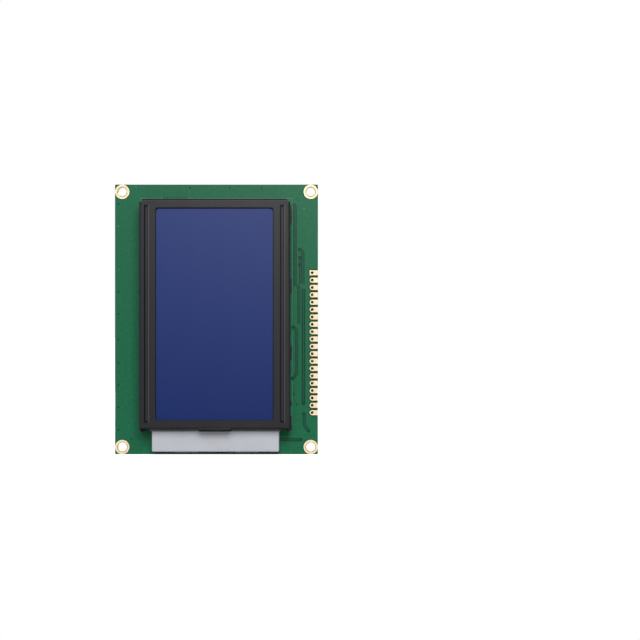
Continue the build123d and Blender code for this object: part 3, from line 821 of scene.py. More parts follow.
# Chips by the start of their name: dark ceramic, brown ceramic and oxidised solder bridges.
CHIP_KINDS: dict[str, ChipKind] = {
    "resistor_": ChipKind("#121214", "#222225", 0.55),
    "capacitor_": ChipKind("#7d5f42", "#a5825c", 0.55),
    "jumper_bridge_": ChipKind("#33271b", "#4d3c29", 0.13),
}
DRIVERS = ("upper", "middle", "lower")

# Angles in degrees below which an edge is shaded smooth.
FOIL_SMOOTH = 50
RESIN_SMOOTH = 60
# A via's disc: its corners, and the dimple's margin and depth as shares of its radius and rise.
DISC_SIDES = 14
DIMPLE_MARGIN = 0.45
DIMPLE_DEPTH = 0.6

# Tented vias that go through the board and show on both faces, in millimetres.
THROUGH_VIAS: tuple[Point, ...] = (
    (-33.85, 39.7),
    (-33.85, 9.6),
    (-33.85, 1.9),
    (-33.85, -6.9),
    (-33.85, -14.9),
    (-33.85, -22.5),
    (-33.85, -30.3),
    (-33.85, -38.05),
    (-29.4, -41.1),
    (-9.1, 45.4),
    (4.6, 45.4),
    (15.5, 45.4),
    (27.7, -29.3),
    (26.7, -25.8),
)


class Face(Enum):
    """A face of the board: which way it looks along Y."""

    FRONT = -1
    BACK = 1


@dataclass(frozen=True)
class Board:
    """Where the board's two faces lie, in millimetres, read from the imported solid."""

    front: float
    back: float

    @classmethod
    def read(cls) -> Board:
        """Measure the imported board."""
        low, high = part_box("circuit_board")
        return cls(low[1] / MM, high[1] / MM)

    def depth(self, face: Face) -> float:
        """Give the depth of a face in millimetres."""
        return self.front if face is Face.FRONT else self.back


@dataclass(frozen=True)
class Footprint:
    """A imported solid's middle and half sizes on the board, in millimetres."""

    x: float
    z: float
    half_across: float
    half_up: float

    @classmethod
    def read(cls, name: str) -> Footprint:
        """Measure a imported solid.

        Args:
            name: its node.

        Returns:
            Its footprint.
        """
        low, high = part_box(name)
        return cls(
            x=(low[0] + high[0]) / 2 / MM,
            z=(low[2] + high[2]) / 2 / MM,
            half_across=(high[0] - low[0]) / 2 / MM,
            half_up=(high[2] - low[2]) / 2 / MM,
        )

    def upright(self) -> bool:
        """Tell whether its long side stands up."""
        return self.half_up > self.half_across

    def turned(self, half_long: float, half_short: float) -> Point:
        """Give half sizes across and up, from a long and a short one."""
        return (half_short, half_long) if self.upright() else (half_long, half_short)


def deselect() -> None:
    """Leave edit mode and select nothing."""
    if bpy.context.mode != "OBJECT":
        bpy.ops.object.mode_set(mode="OBJECT")
    bpy.ops.object.select_all(action="DESELECT")


def adopt(name: str, finish: Finish, smooth_degrees: float = 0.0) -> bpy.types.Object:
    """Name, finish and fasten the active object as a piece of the module.

    Args:
        name: the piece's name.
        finish: its finish.
        smooth_degrees: angle below which edges are shaded smooth; 0 leaves them flat.

    Returns:
        The piece.
    """
    piece = bpy.context.object
    piece.name = name
    piece.data.name = name
    if smooth_degrees:
        bpy.ops.object.shade_smooth_by_angle(angle=math.radians(smooth_degrees))
    piece.data.materials.clear()
    piece.data.materials.append(finish.material())
    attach(piece, "root")
    LOG.info("piece %s: %d faces", name, len(piece.data.polygons))
    return piece


def draw_lines(runs: list[Run], depth: float, width: float, rise: float) -> bpy.types.Object:
    """Draw lines that lie on a face of the board, low and rounded like foil under mask.

    Args:
        runs: chains of x, z points in millimetres.
        depth: the face's place along Y in millimetres.
        width: full width of a line in millimetres.
        rise: height of a line above the face in millimetres.

    Returns:
        One mesh object with every line.
    """
    deselect()
    bpy.ops.mesh.primitive_plane_add(size=TINY)
    bpy.ops.object.mode_set(mode="EDIT")
    bpy.ops.mesh.select_mode(type="VERT")
    bpy.ops.mesh.select_all(action="SELECT")
    bpy.ops.mesh.delete(type="VERT")
    for run in runs:
        start = (run[0][0] * MM, depth * MM, run[0][1] * MM)
        bpy.ops.mesh.primitive_plane_add(size=TINY, location=start)
        bpy.ops.mesh.merge(type="COLLAPSE")
        for before, after in zip(run, run[1:]):
            step = ((after[0] - before[0]) * MM, 0.0, (after[1] - before[1]) * MM)
            bpy.ops.mesh.extrude_region_move(TRANSFORM_OT_translate={"value": step})
    bpy.ops.object.mode_set(mode="OBJECT")
    bpy.ops.object.convert(target="CURVE")
    line = bpy.context.object
    line.data.bevel_depth = width / 2 * MM
    line.data.bevel_resolution = 1
    line.data.use_fill_caps = True
    bpy.ops.object.convert(target="MESH")
    bpy.ops.object.mode_set(mode="EDIT")
    bpy.ops.mesh.select_all(action="SELECT")
    flat = (1.0, 2 * rise / width, 1.0)
    bpy.ops.transform.resize(value=flat, center_override=(0.0, depth * MM, 0.0))
    bpy.ops.mesh.normals_make_consistent(inside=False)
    bpy.ops.object.mode_set(mode="OBJECT")
    return bpy.context.object


def repeat_in_edit_mode(places: list[Point]) -> None:
    """Copy what is selected from the first place to each of the others, in edit mode.

    Args:
        places: x, z of each place in millimetres; the first one has its shape already.
    """
    for before, after in zip(places, places[1:]):
        step = ((after[0] - before[0]) * MM, 0.0, (after[1] - before[1]) * MM)
        bpy.ops.mesh.duplicate_move(TRANSFORM_OT_translate={"value": step})


def stamp_discs(
    places: list[Point], board: Board, face: Face, radius: float, rise: float
) -> bpy.types.Object:
    """Model one low dimpled disc on a face of the board and copy it to every place.

    Args:
        places: x, z of each disc in millimetres.
        board: where the faces lie.
        face: which face.
        radius: the disc's radius in millimetres.
        rise: how far it stands up in millimetres.

    Returns:
        One mesh object with every disc.
    """
    deselect()
    outward = face.value
    x, z = places[0]
    bpy.ops.mesh.primitive_circle_add(
        vertices=DISC_SIDES,
        radius=radius * MM,
        fill_type="NGON",
        location=(x * MM, board.depth(face) * MM, z * MM),
        rotation=(-outward * QUARTER, 0.0, 0.0),
    )
    bpy.ops.object.transform_apply(location=True, rotation=True, scale=True)
    bpy.ops.object.mode_set(mode="EDIT")
    bpy.ops.mesh.select_mode(type="FACE")
    bpy.ops.mesh.select_all(action="SELECT")
    lift = (0.0, outward * rise * MM, 0.0)
    bpy.ops.mesh.extrude_region_move(TRANSFORM_OT_translate={"value": lift})
    bpy.ops.mesh.inset(thickness=radius * DIMPLE_MARGIN * MM, depth=-rise * DIMPLE_DEPTH * MM)
    bpy.ops.mesh.select_all(action="SELECT")
    bpy.ops.mesh.normals_make_consistent(inside=False)
    repeat_in_edit_mode(places)
    bpy.ops.object.mode_set(mode="OBJECT")
    return bpy.context.object


def offset(run: Run, distance: float) -> Run:
    """Move a chain of points sideways, keeping its corners sharp.

    Args:
        run: chain of points.
        distance: how far to the left of its direction, in millimetres.

    Returns:
        The moved chain.
    """
    normals = []
    for before, after in zip(run, run[1:]):
        along = Vector((after[0] - before[0], after[1] - before[1])).normalized()
        normals.append(Vector((-along.y, along.x)))
    moved = []
    for index, point in enumerate(run):
        near = normals[max(index - 1, 0)]
        far = normals[min(index, len(normals) - 1)]
        mitre = near + far
        mitre = mitre * (2 / mitre.length_squared)
        moved.append((point[0] + mitre.x * distance, point[1] + mitre.y * distance))
    return moved


def arc(centre: Point, radius: float, start: float, end: float, steps: int = 8) -> Run:
    """Points along an arc, angles in degrees from +X towards +Z."""
    angles = [math.radians(start + (end - start) * index / steps) for index in range(steps + 1)]
    return [(centre[0] + radius * math.cos(a), centre[1] + radius * math.sin(a)) for a in angles]


def rectangle(x: float, z: float, across: float, up: float) -> Run:
    """Closed outline of a rectangle from its middle and half sizes."""
    turns = ((-1, -1), (1, -1), (1, 1), (-1, 1), (-1, -1))
    return [(x + side * across, z + end * up) for side, end in turns]


@dataclass
class CadDress:
    """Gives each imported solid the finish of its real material."""

    nodes: dict[str, bpy.types.Object]

    def chip_finish(self, name: str, kind: ChipKind) -> Finish:
        """Make the two-part finish of one chip from where the chip lies.

        Args:
            name: the chip's node.
            kind: what sort of chip it is.

        Returns:
            Its finish.
        """
        low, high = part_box(name)
        axis = 0 if high[0] - low[0] > high[2] - low[2] else 2
        return ChipFinish(
            f"{name}_finish",
            kind.low,
            axis="XYZ"[axis],
            middle=(low[axis] + high[axis]) / 2,
            half_body=kind.half_body_mm * MM,
            low=kind.low,
            high=kind.high,
        )

    def finish_of(self, name: str) -> Finish:
        """Find the finish of a node by its name.

        Args:
            name: the node's name.

        Returns:
            Its finish.
        """
        if name in NODE_FINISH:
            return NODE_FINISH[name]
        for start, kind in CHIP_KINDS.items():
            if name.startswith(start):
                return self.chip_finish(name, kind)
        for start, finish in NODE_STARTS.items():
            if name.startswith(start):
                return finish
        for end, finish in NODE_ENDINGS.items():
            if name.endswith(end):
                return finish
        raise KeyError(name)

    def build(self) -> None:
        """Dress every node."""
        for name, node in self.nodes.items():
            node.data.materials.clear()
            node.data.materials.append(self.finish_of(name).material())
        LOG.info("dressed %d solids", len(self.nodes))


@dataclass
class ResinCaps:
    """Cast resin over the three bare driver chips, in place of the plain domes.

    The profile gives a dome's width and height as shares of the whole, from its foot to its crown.
    """

    names: tuple[str, ...] = DRIVERS
    profile: tuple[Point, ...] = (
        (0.992, 0.16),
        (0.975, 0.34),
        (0.95, 0.48),
        (0.915, 0.6),
        (0.86, 0.7),
        (0.78, 0.79),
        (0.67, 0.87),
        (0.54, 0.93),
        (0.39, 0.97),
        (0.22, 0.99),
        (0.08, 1.0),
    )
    rim_points: int = 96

    def dome(self, name: str) -> bpy.types.Object:
        """Model a dome over one chip: a disc raised ring by ring along the profile.

        Args:
            name: which driver.

        Returns:
            The dome.
        """
        low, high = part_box(f"{name}_driver_cap")
        centre = ((low[0] + high[0]) / 2, low[1], (low[2] + high[2]) / 2)
        radius = (high[0] - low[0]) / 2
        height = high[1] - low[1]
        deselect()
        bpy.ops.mesh.primitive_circle_add(
            vertices=self.rim_points,
            radius=radius,
            fill_type="NGON",
            location=centre,
            rotation=(-QUARTER, 0.0, 0.0),
        )
        bpy.ops.object.transform_apply(location=True, rotation=True, scale=True)
        bpy.ops.object.mode_set(mode="EDIT")
        bpy.ops.mesh.select_mode(type="FACE")
        bpy.ops.mesh.select_all(action="SELECT")
        last_width, last_height = 1.0, 0.0
        for width, up in self.profile:
            lift = (0.0, (up - last_height) * height, 0.0)
            bpy.ops.mesh.extrude_region_move(TRANSFORM_OT_translate={"value": lift})
            share = width / last_width
            bpy.ops.transform.resize(value=(share, 1.0, share), center_override=centre)
            last_width, last_height = width, up
        bpy.ops.mesh.select_all(action="SELECT")
        bpy.ops.mesh.normals_make_consistent(inside=False)
        bpy.ops.object.mode_set(mode="OBJECT")
        return bpy.context.object

    def build(self) -> None:
        """Raise one dome over each driver chip."""
        for name in self.names:
            self.dome(name)
            piece = adopt(f"{name}_resin_cap", RESIN, RESIN_SMOOTH)
            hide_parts(f"{name}_driver_cap")


@dataclass(frozen=True)
class Ring:
    """A ring round a hole: its centre line's radius, half its width, and its squash along Y."""

    major: float
    minor: float
    squash: float


@dataclass
class HoleDetail:
    """Rings of painted shade in the header holes, and lips round the mounting holes painted brown
    as the hole wall's shade, in millimetres.
    """

    board: Board
    pin_x: float = 33.0
    pin_one_z: float = 16.1
    pitch: float = 2.54
    pins: int = 20
    mount_x: float = 32.5
    mount_z: float = 44.0
    copper: float = 0.05
    # Ring of painted shade that darkens each see-through header hole.
    hole_shadow: Ring = Ring(0.3, 0.26, 2.6)
    # Lip round each mounting hole; its brown is painted shade of the hole wall.
    lip: Ring = Ring(1.68, 0.12, 0.5)
    ring_steps: int = 32
    tube_steps: int = 8

    def pin_places(self) -> list[Point]:
        """Places of the header holes, the first uppermost."""
        return [(self.pin_x, self.pin_one_z - self.pitch * index) for index in range(self.pins)]

    def mount_places(self) -> list[Point]:
        """Places of the four mounting holes."""
        corners = ((-1, 1), (1, 1), (1, -1), (-1, -1))
        return [(side * self.mount_x, end * self.mount_z) for side, end in corners]

    def rings(self, places: list[Point], depth: float, ring: Ring) -> bpy.types.Object:
        """Model a ring that lies round the first hole, and copy it round the others.

        Args:
            places: x, z of each hole in millimetres.
            depth: the ring's middle along Y in millimetres.
            ring: its sizes.

        Returns:
            One mesh object with every ring.
        """
        deselect()
        x, z = places[0]
        centre = (x * MM, depth * MM, z * MM)
        bpy.ops.mesh.primitive_torus_add(
            location=centre,
            rotation=(QUARTER, 0.0, 0.0),
            major_radius=ring.major * MM,
            minor_radius=ring.minor * MM,
            major_segments=self.ring_steps,
            minor_segments=self.tube_steps,
        )
        bpy.ops.object.transform_apply(location=True, rotation=True, scale=True)
        bpy.ops.object.mode_set(mode="EDIT")
        bpy.ops.mesh.select_all(action="SELECT")
        bpy.ops.transform.resize(value=(1.0, ring.squash, 1.0), center_override=centre)
        repeat_in_edit_mode(places)
        bpy.ops.object.mode_set(mode="OBJECT")
        return bpy.context.object

    def build(self) -> None:
        """Fill the header holes with rings of painted shade, and round the lips of the mounting
        holes.
        """
        middle = (self.board.front + self.board.back) / 2
        self.rings(self.pin_places(), middle, self.hole_shadow)
        adopt("header_hole_shade_rings", HOLE_PAINTED_SHADE, FOIL_SMOOTH)
        for face in Face:
            depth = self.board.depth(face) + face.value * self.copper
            self.rings(self.mount_places(), depth, self.lip)
            adopt(f"mounting_hole_lips_{face.name.lower()}", SHADED_GOLD_LIP, FOIL_SMOOTH)


@dataclass
class PadEdges:
    """The dark line where the mask stops round the gold pads, on both faces, in millimetres: bare
    laminate with the step's shadow painted in.

    Lands without a part are given by their middle and half sizes, the others by their solids.
    """

    board: Board
    holes: HoleDetail
    wells: dict[str, Point]
    pad_radius: float = 0.875
    ring_radius: float = 2.48
    ring_margin: float = 20.0
    long_steps: int = 24
    short_steps: int = 6
    edge_x: float = 34.95
    ring_width: float = 0.42
    pad_width: float = 0.8
    well_width: float = 0.46
    rise: float = 0.014
    oval_columns: tuple[float, ...] = (-23.3, 23.3)
    oval_rows: tuple[float, ...] = (35.7, 11.6, -11.6, -35.7)
    oval_half: float = 1.8
    oval_radius: float = 1.0
    bare: tuple[tuple[float, float, float, float], ...] = (
        (27.3, 23.5, 0.85, 0.75),
        (24.9, 23.5, 0.85, 0.75),
        (27.3, 21.1, 0.85, 0.75),
        (24.9, 21.1, 0.85, 0.75),
        (12.8, 36.3, 0.87, 1.05),
        (10.2, 36.3, 0.87, 1.05),
        (7.6, 36.3, 0.87, 1.05),
        (11.2, 32.35, 0.55, 0.57),
        (9.2, 32.35, 0.55, 0.57),
        (23.75, -40.5, 0.85, 0.77),
        (23.75, -44.0, 0.85, 0.77),
        (-9.2, -39.7, 0.75, 0.85),
        (-9.2, -42.5, 0.75, 0.85),
        (-11.9, -39.7, 0.75, 0.85),
        (-11.9, -42.5, 0.75, 0.85),
        (25.9, -42.3, 0.5, 0.97),
        (30.0, -35.85, 1.15, 1.4),
        (30.0, -39.45, 1.15, 1.4),
    )

    def header_runs(self) -> list[Run]:
        """Outline each bullet-shaped pad; the first is square.

        Returns:
            One open chain for each pad.
        """
        runs = []
        for index, (x, z) in enumerate(self.holes.pin_places()):
            low, high = z - self.pad_radius, z + self.pad_radius
            inner_end = arc((x, z), self.pad_radius, 90, 270)
            if index == 0:
                inner_end = [(x - self.pad_radius, high), (x - self.pad_radius, low)]
            runs.append([(self.edge_x, high), *inner_end, (self.edge_x, low)])
        return runs

    def ring_runs(self) -> list[Run]:
        """Outline each mounting ring, left open where the ring meets the board's edges.

        Returns:
            A long and a short chain for each ring.
        """
        runs = []
        for x, z in self.holes.mount_places():
            # The quarter turn, in degrees, in which the board's corner lies from the hole.
            outward = math.degrees(math.atan2(z, x)) // 90 * 90
            starts = outward + self.ring_margin
            long_arc = (starts + 90, outward + 360 - self.ring_margin)
            short_arc = (starts, outward + 90 - self.ring_margin)
            runs.append(arc((x, z), self.ring_radius, *long_arc, self.long_steps))
            runs.append(arc((x, z), self.ring_radius, *short_arc, self.short_steps))
        return runs

    def slot_runs(self) -> list[Run]:
        """Outline the gold ovals beside the tab slots.

        Returns:
            One closed chain for each oval.
        """
        runs = []
        for x in self.oval_columns:
            for z in self.oval_rows:
                upper = arc((x, z + self.oval_half), self.oval_radius, 0, 180)
                lower = arc((x, z - self.oval_half), self.oval_radius, 180, 360)
                runs.append([*upper, *lower, upper[0]])
        return runs

    def land_runs(self) -> list[Run]:
        """Outline the lands of every chip, solder bridge and part that isn't fitted.

        Returns:
            One closed chain for each.
        """
        runs = []
        for name, (half_long, half_short) in self.wells.items():
            part = Footprint.read(name)
            runs.append(rectangle(part.x, part.z, *part.turned(half_long, half_short)))
        return runs + [rectangle(*land) for land in self.bare]

    def build(self) -> None:
        """Draw the outlines."""
        for face in Face:
            side = face.name.lower()
            depth = self.board.depth(face)
            draw_lines(self.ring_runs(), depth, self.ring_width, self.rise)
            adopt(f"ring_mask_edges_{side}", PAD_EDGE_SHADOW)
            draw_lines(self.header_runs(), depth, self.pad_width, self.rise)
            adopt(f"pad_mask_edges_{side}", PAD_EDGE_SHADOW)
        draw_lines(self.slot_runs() + self.land_runs(), self.board.back, self.well_width, self.rise)
        adopt("well_mask_edges_back", PAD_EDGE_SHADOW)


@dataclass
class WindowShadow:
    """Painted shadow of the bezel's edge: black on the film along the window's upper and side
    edges, half under the bezel.

    Each upper corner is cut by three points, given inwards and down from the corner in millimetres.
    """

    half_width: float = 20.0
    top: float = 37.85
    foot: float = -34.15
    top_band: float = 1.0
    side_band: float = 0.5
    rise: float = 0.01
    corner: tuple[Point, ...] = ((0.0, 1.3), (0.4, 0.5), (1.2, 0.0))

    def build(self) -> None:
        """Draw the painted shadow."""
        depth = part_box("front_polariser")[0][1] / MM
        half, top = self.half_width, self.top
        draw_lines([[(-half, top), (half, top)]], depth, self.top_band, self.rise)
        adopt("window_shadow_top", WINDOW_SHADOW)
        sides = []
        for side in (-1, 1):
            cut = [(side * (half - inward), top - down) for inward, down in self.corner]
            sides.append([(side * half, self.foot), *cut])
        draw_lines(sides, depth, self.side_band, self.rise)
        adopt("window_shadow_sides", WINDOW_SHADOW)


@dataclass(frozen=True)
class TrackForm:
    """Widths and rises in millimetres of a track's dark gap and of the strip that lies over it."""

    gap_width: float
    core_width: float
    gap_rise: float = 0.012
    core_rise: float = 0.03


@dataclass
class Tracks:
    """Copper tracks under the mask on one face: a dark gap each side of a slightly raised strip."""

    board: Board
    face: Face
    name: str
    runs: list[Run]
    form: TrackForm
    core: Finish = TRACK
    gap: Finish = TRACK_EDGE

    def build(self) -> None:
        """Draw the gaps, then the strips over them."""
        depth = self.board.depth(self.face)
        draw_lines(self.runs, depth, self.form.gap_width, self.form.gap_rise)
        adopt(f"{self.name}_gaps", self.gap)
        draw_lines(self.runs, depth, self.form.core_width, self.form.core_rise)
        adopt(f"{self.name}_strips", self.core, FOIL_SMOOTH)


@dataclass(frozen=True)
class Dots:
    """Like round spots: their radius and rise in millimetres, and their places.

    Without places they lie on every via of the fine wiring.
    """

    radius: float
    rise: float
    places: tuple[Point, ...] = ()


@dataclass
class FrontDrawing:
    """What the board's front shows round the bezel: tracks, tented vias and a faint outline."""

    board: Board
    tracks: tuple[Run, ...] = (
        [(26.1, 39.7), (26.6, 39.6), (27.0, 39.1), (27.1, 38.4), (27.1, 11.4)],
        [(28.7, 24.0), (29.2, 23.9), (29.7, 23.3), (29.8, 22.4), (29.8, 12.2)],
        [(28.7, 21.3), (29.0, 20.6), (29.0, 12.2)],
        [(28.0, 12.0), (28.4, 10.8), (28.4, -1.5)],
        [(30.0, 10.6), (30.0, -29.0)],
        [(26.5, -2.7), (27.3, -3.2), (27.7, -4.0), (27.7, -18.7), (26.3, -20.4)],
        [(30.2, -32.6), (30.3, -36.4), (31.7, -38.4)],
        [(20.9, -41.4), (29.1, -41.5)],
    )
    form: TrackForm = TrackForm(1.25, 0.7)
    ends: Dots = Dots(
        0.6,
        0.04,
        (
            (28.7, 24.0),
            (28.7, 21.3),
            (28.7, 18.8),
            (26.5, -2.7),
            (26.3, -20.4),
            (30.0, -29.0),
            (30.2, -32.6),
            (31.7, -38.4),
            (29.1, -41.5),
        ),
    )
    vias: Dots = Dots(0.32, 0.02, THROUGH_VIAS)
    pale: Dots = Dots(0.22, 0.02, ((-27.7, 45.7), (-33.8, 32.2), (-33.7, 17.1), (30.2, 38.2)))
    zigzag_first: Point = (-18.2, 41.5)
    zigzag_step: float = 1.05
    zigzag_count: int = 8
    zigzag_slant: Point = (0.45, 0.85)
    zigzag_width: float = 0.3
    zigzag_rise: float = 0.02
    outline_half: float = 26.1
    outline_top: float = 41.7
    outline_foot: float = -36.5
    outline_width: float = 0.2
    outline_rise: float = 0.01

    def zigzag(self) -> list[Run]:
        """Slant the strokes of a via row that comes out from under the bezel.

        Returns:
            One chain for each stroke.
        """
        x, z = self.zigzag_first
        across, up = self.zigzag_slant
        starts = [x + self.zigzag_step * index for index in range(self.zigzag_count)]
        return [[(start, z), (start + across, z + up)] for start in starts]

    def build(self) -> None:
        """Draw the front."""
        depth = self.board.front
        Tracks(self.board, Face.FRONT, "front_tracks", list(self.tracks), self.form).build()
        draw_lines(self.zigzag(), depth, self.zigzag_width, self.zigzag_rise)
        adopt("front_via_row", TRACK_EDGE)
        for name, dots, finish in (
            ("front_track_ends", self.ends, TRACK_EDGE),
            ("front_vias", self.vias, TRACK_EDGE),
            ("front_pale_vias", self.pale, FAINT_INK),
        ):
            stamp_discs(list(dots.places), self.board, Face.FRONT, dots.radius, dots.rise)
            adopt(name, finish)
        half, top, foot = self.outline_half, self.outline_top, self.outline_foot
        outline = [(-half, foot), (-half, top), (half, top), (half, foot)]
        draw_lines([outline], depth, self.outline_width, self.outline_rise)
        adopt("front_legend_outline", FAINT_INK)


@dataclass(frozen=True)
class ViaRow:
    """Evenly spaced vias that lie in turn on two parallel lines, in millimetres."""

    start: float
    pitch: float
    count: int
    lines: tuple[float, float]

    def places(self) -> list[Point]:
        """Give each via's place along the row and the line that it lies on."""
        steps = range(self.count)
        return [(self.start - self.pitch * step, self.lines[step % 2]) for step in steps]


@dataclass
class BackDrawing:
    """The wiring on the back: via combs along the sides and fine tracks that fan in to the drivers.

    All places are in millimetres. The caps are circles of x, z and radius in which tracks stop.
    A root is where a row's tracks start, a turn where they bend, a split the place past which they
    run otherwise, and a reach how far they run at most.
    """

    board: Board
    caps: tuple[tuple[float, float, float], ...] = ()
    stride: float = 0.15
    # Comb beside the header.
    left_row: ViaRow = ViaRow(29.4, 0.8, 55, (21.9, 21.3))
    left_root: float = 21.2
    left_turn: float = 16.0
    left_split: float = 7.0
    left_slope: float = 0.93
    left_reach: float = 14.0
    left_low_reach: float = 13.0
    left_shrink: float = 0.12
    # Comb on the far side.
    right_row: ViaRow = ViaRow(29.9, 0.8, 38, (-20.3, -19.6))
    right_root: float = -19.6
    right_turn: float = -15.9
    right_split: float = 15.0
    right_straight: float = 8.0
    right_reach: float = 12.0
    # Rows above the upper driver, and the block and column beside them.
    top_row: ViaRow = ViaRow(4.6, 0.87, 21, (34.6, 35.5))
    top_foot: float = 33.6
    top_split: float = -9.0
    top_reach: float = 12.0
    top_straight: float = 6.0
    block_upper: ViaRow = ViaRow(-9.9, 0.75, 12, (42.0, 42.0))
    block_lower_z: float = 40.6
    block_lower_shift: float = 0.37
    block_foot: float = 38.7
    side_x: float = -19.2
    side_row: ViaRow = ViaRow(38.2, 0.8, 11, (-20.1, -19.2))
    # Rows round the lower driver: above it, above right, right, and at the board's foot.
    crown_row: ViaRow = ViaRow(-4.8, 0.8, 9, (1.0, 2.1))
    crown_top: float = 1.2
    crown_slant: float = 1.6
    crown_reach: float = 12.0
    shoulder_row: ViaRow = ViaRow(0.5, 0.85, 14, (-2.4, -1.1))
    shoulder_root: float = -1.6
    shoulder_slope: float = 0.8
    shoulder_reach: float = 11.0
    flank_row: ViaRow = ViaRow(-10.9, 0.94, 18, (1.2, 2.8))
    flank_root: float = 2.0
    flank_reach: float = 5.0
    foot_row: ViaRow = ViaRow(-29.5, 1.02, 9, (20.0, 20.0))
    foot_turn: float = 19.0
    foot_line: float = -38.9
    foot_end_row: ViaRow = ViaRow(18.4, 0.94, 9, (-39.6, -39.6))
    hook: tuple[float, float, float] = (-16.4, -17.6, -18.8)
    hook_drop: float = 1.2
    # Bundles: the first track's run, how many lie side by side, and their pitch.
    bundled: tuple[tuple[Run, int, float], ...] = (
        ([(27.3, -15.2), (11.0, -31.5), (-3.4, -31.5), (-8.4, -28.4)], 3, -0.78),
        ([(20.9, -15.9), (7.0, -29.8), (-2.6, -29.8), (-6.2, -27.4)], 2, -0.78),
        ([(-17.8, -17.4), (-21.9, -21.0), (-21.9, -34.4), (-17.6, -38.7)], 6, 0.78),
        ([(-12.0, -27.8), (-12.0, -31.0), (-6.0, -37.6)], 6, -0.7),
    )
    # The few wider tracks.
    wide: tuple[Run, ...] = (
        [(24.0, 42.2), (24.0, 38.6)],
        [(21.3, 39.2), (21.3, 35.4), (19.4, 33.5), (17.0, 33.5)],
        [(17.2, 32.2), (20.3, 32.2), (22.7, 30.3), (22.7, -15.9), (11.5, -27.0)],
        [(8.6, 30.6), (7.4, 29.4), (2.0, 29.2), (0.4, 27.8), (0.4, 23.7), (1.6, 22.5), (1.6, 17.5)],
        [(25.6, -40.5), (-5.0, -40.5), (-6.4, -39.6)],
        [(19.5, -43.5), (10.0, -43.5), (8.4, -44.9), (6.6, -44.9)],
        [(28.6, -31.6), (23.4, -31.6), (21.4, -33.6), (21.4, -40.4)],
    )
    test_dots: Dots = Dots(
        0.28,
        0.04,
        (
            (-2.3, 16.5),
            (-2.1, 15.25),
            (-2.1, 14.45),
            (-0.65, 16.4),
            (-1.8, 12.8),
            (-1.1, 10.0),
            (1.96, 12.3),
            (3.1, -8.45),
            (4.2, -10.5),
            (-2.6, -26.7),
            (1.7, -32.3),
            (0.85, -31.97),
            (0.0, -31.64),
            (-0.85, -31.31),
        ),
    )
    through: Dots = Dots(0.32, 0.02, THROUGH_VIAS)
    rims: Dots = Dots(0.36, 0.03)
    plugs: Dots = Dots(0.17, 0.04)
    fine_form: TrackForm = TrackForm(0.82, 0.46, 0.008, 0.014)
    wide_form: TrackForm = TrackForm(1.1, 0.6, 0.014, 0.024)

    def until_cap(self, start: Point, step: Point, longest: float) -> Point:
        """Walk from a point until a resin cap is met.

        Args:
            start: first point, in millimetres.
            step: direction, of length one or so.
            longest: how many steps to walk at most.

        Returns:
            Where the walk ends.
        """
        walked = 0.0
        while walked < longest:
            x, z = start[0] + step[0] * walked, start[1] + step[1] * walked
            if any(math.hypot(x - cx, z - cz) < radius for cx, cz, radius in self.caps):
                return x, z
            walked += self.stride
        return start[0] + step[0] * longest, start[1] + step[1] * longest

    def left_comb(self) -> tuple[list[Run], list[Point]]:
        """Comb beside the header, whose tracks turn in towards the middle driver.

        Returns:
            Its tracks and its vias.
        """
        runs, vias = [], []
        for index, (z, line) in enumerate(self.left_row.places()):
            slope = -self.left_slope if z > self.left_split else self.left_slope
            reach = self.left_reach if z > 0 else self.left_low_reach - self.left_shrink * index
            end = self.until_cap((self.left_turn, z), (-1.0, slope), reach)
            runs.append([(self.left_root, z), (self.left_turn, z), end])
            vias.append((line, z))
        return runs, vias

    def right_comb(self) -> tuple[list[Run], list[Point]]:
        """Comb on the far side, whose tracks run to the upper driver or slant up to it.

        Returns:
            Its tracks and its vias.
        """
        runs, vias = [], []
        for z, line in self.right_row.places():
            root = (self.right_root, z)
            if z > self.right_split:
                runs.append([root, self.until_cap(root, (1.0, 0.0), self.right_straight)])
            else:
                turn = (self.right_turn, z)
                runs.append([root, turn, self.until_cap(turn, (1.0, 1.0), self.right_reach)])
            vias.append((line, z))
        return runs, vias

    def top_rows(self) -> tuple[list[Run], list[Point]]:
        """Two rows above the upper driver, and the block whose tracks slant to the side column.

        Returns:
            Their tracks and their vias.
        """
        runs, vias = [], []
        for via in self.top_row.places():
            turn = (via[0], self.top_foot)
            vias.append(via)
            if via[0] > self.top_split:
                runs.append([via, turn, self.until_cap(turn, (-1.0, -1.0), self.top_reach)])
            else:
                runs.append([via, self.until_cap(via, (0.0, -1.0), self.top_straight)])
        for x, z in self.block_upper.places():
            vias += [(x, z), (x - self.block_lower_shift, self.block_lower_z)]
            slant_end = (self.side_x, self.block_foot + self.side_x - x)
            runs.append([(x, z), (x, self.block_foot), slant_end])
        vias += [(line, z) for z, line in self.side_row.places()]
        return runs, vias

    def lower_runs(self) -> tuple[list[Run], list[Point]]:
        """Rows and columns round the lower driver.

        Returns:
            Their tracks and their vias.
        """
        runs, vias = [], []
        for x, line in self.crown_row.places():
            turn = (x - self.crown_slant, self.crown_top - self.crown_slant)
            end = self.until_cap(turn, (-1.0, -1.0), self.crown_reach)
            vias.append((x, line))
            runs.append([(x, self.crown_top), turn, end])
        for z, line in self.shoulder_row.places():
            root = (self.shoulder_root, z)
            step = (-self.shoulder_slope, -self.shoulder_slope)
            vias.append((line, z))
            runs.append([root, self.until_cap(root, step, self.shoulder_reach)])
        for z, line in self.flank_row.places():
            root = (self.flank_root, z)
            vias.append((line, z))
            runs.append([root, self.until_cap(root, (-1.0, 0.0), self.flank_reach)])
        near, turn, far = self.hook
        for (z, x), end in zip(self.foot_row.places(), self.foot_end_row.places()):
            foot = (self.foot_turn - z + self.foot_line, self.foot_line)
            vias += [(x, z), end, (near, z)]
            runs.append([(x, z), (self.foot_turn, z), foot])
            runs.append([(near, z), (turn, z), (far, z - self.hook_drop)])
        return runs, vias

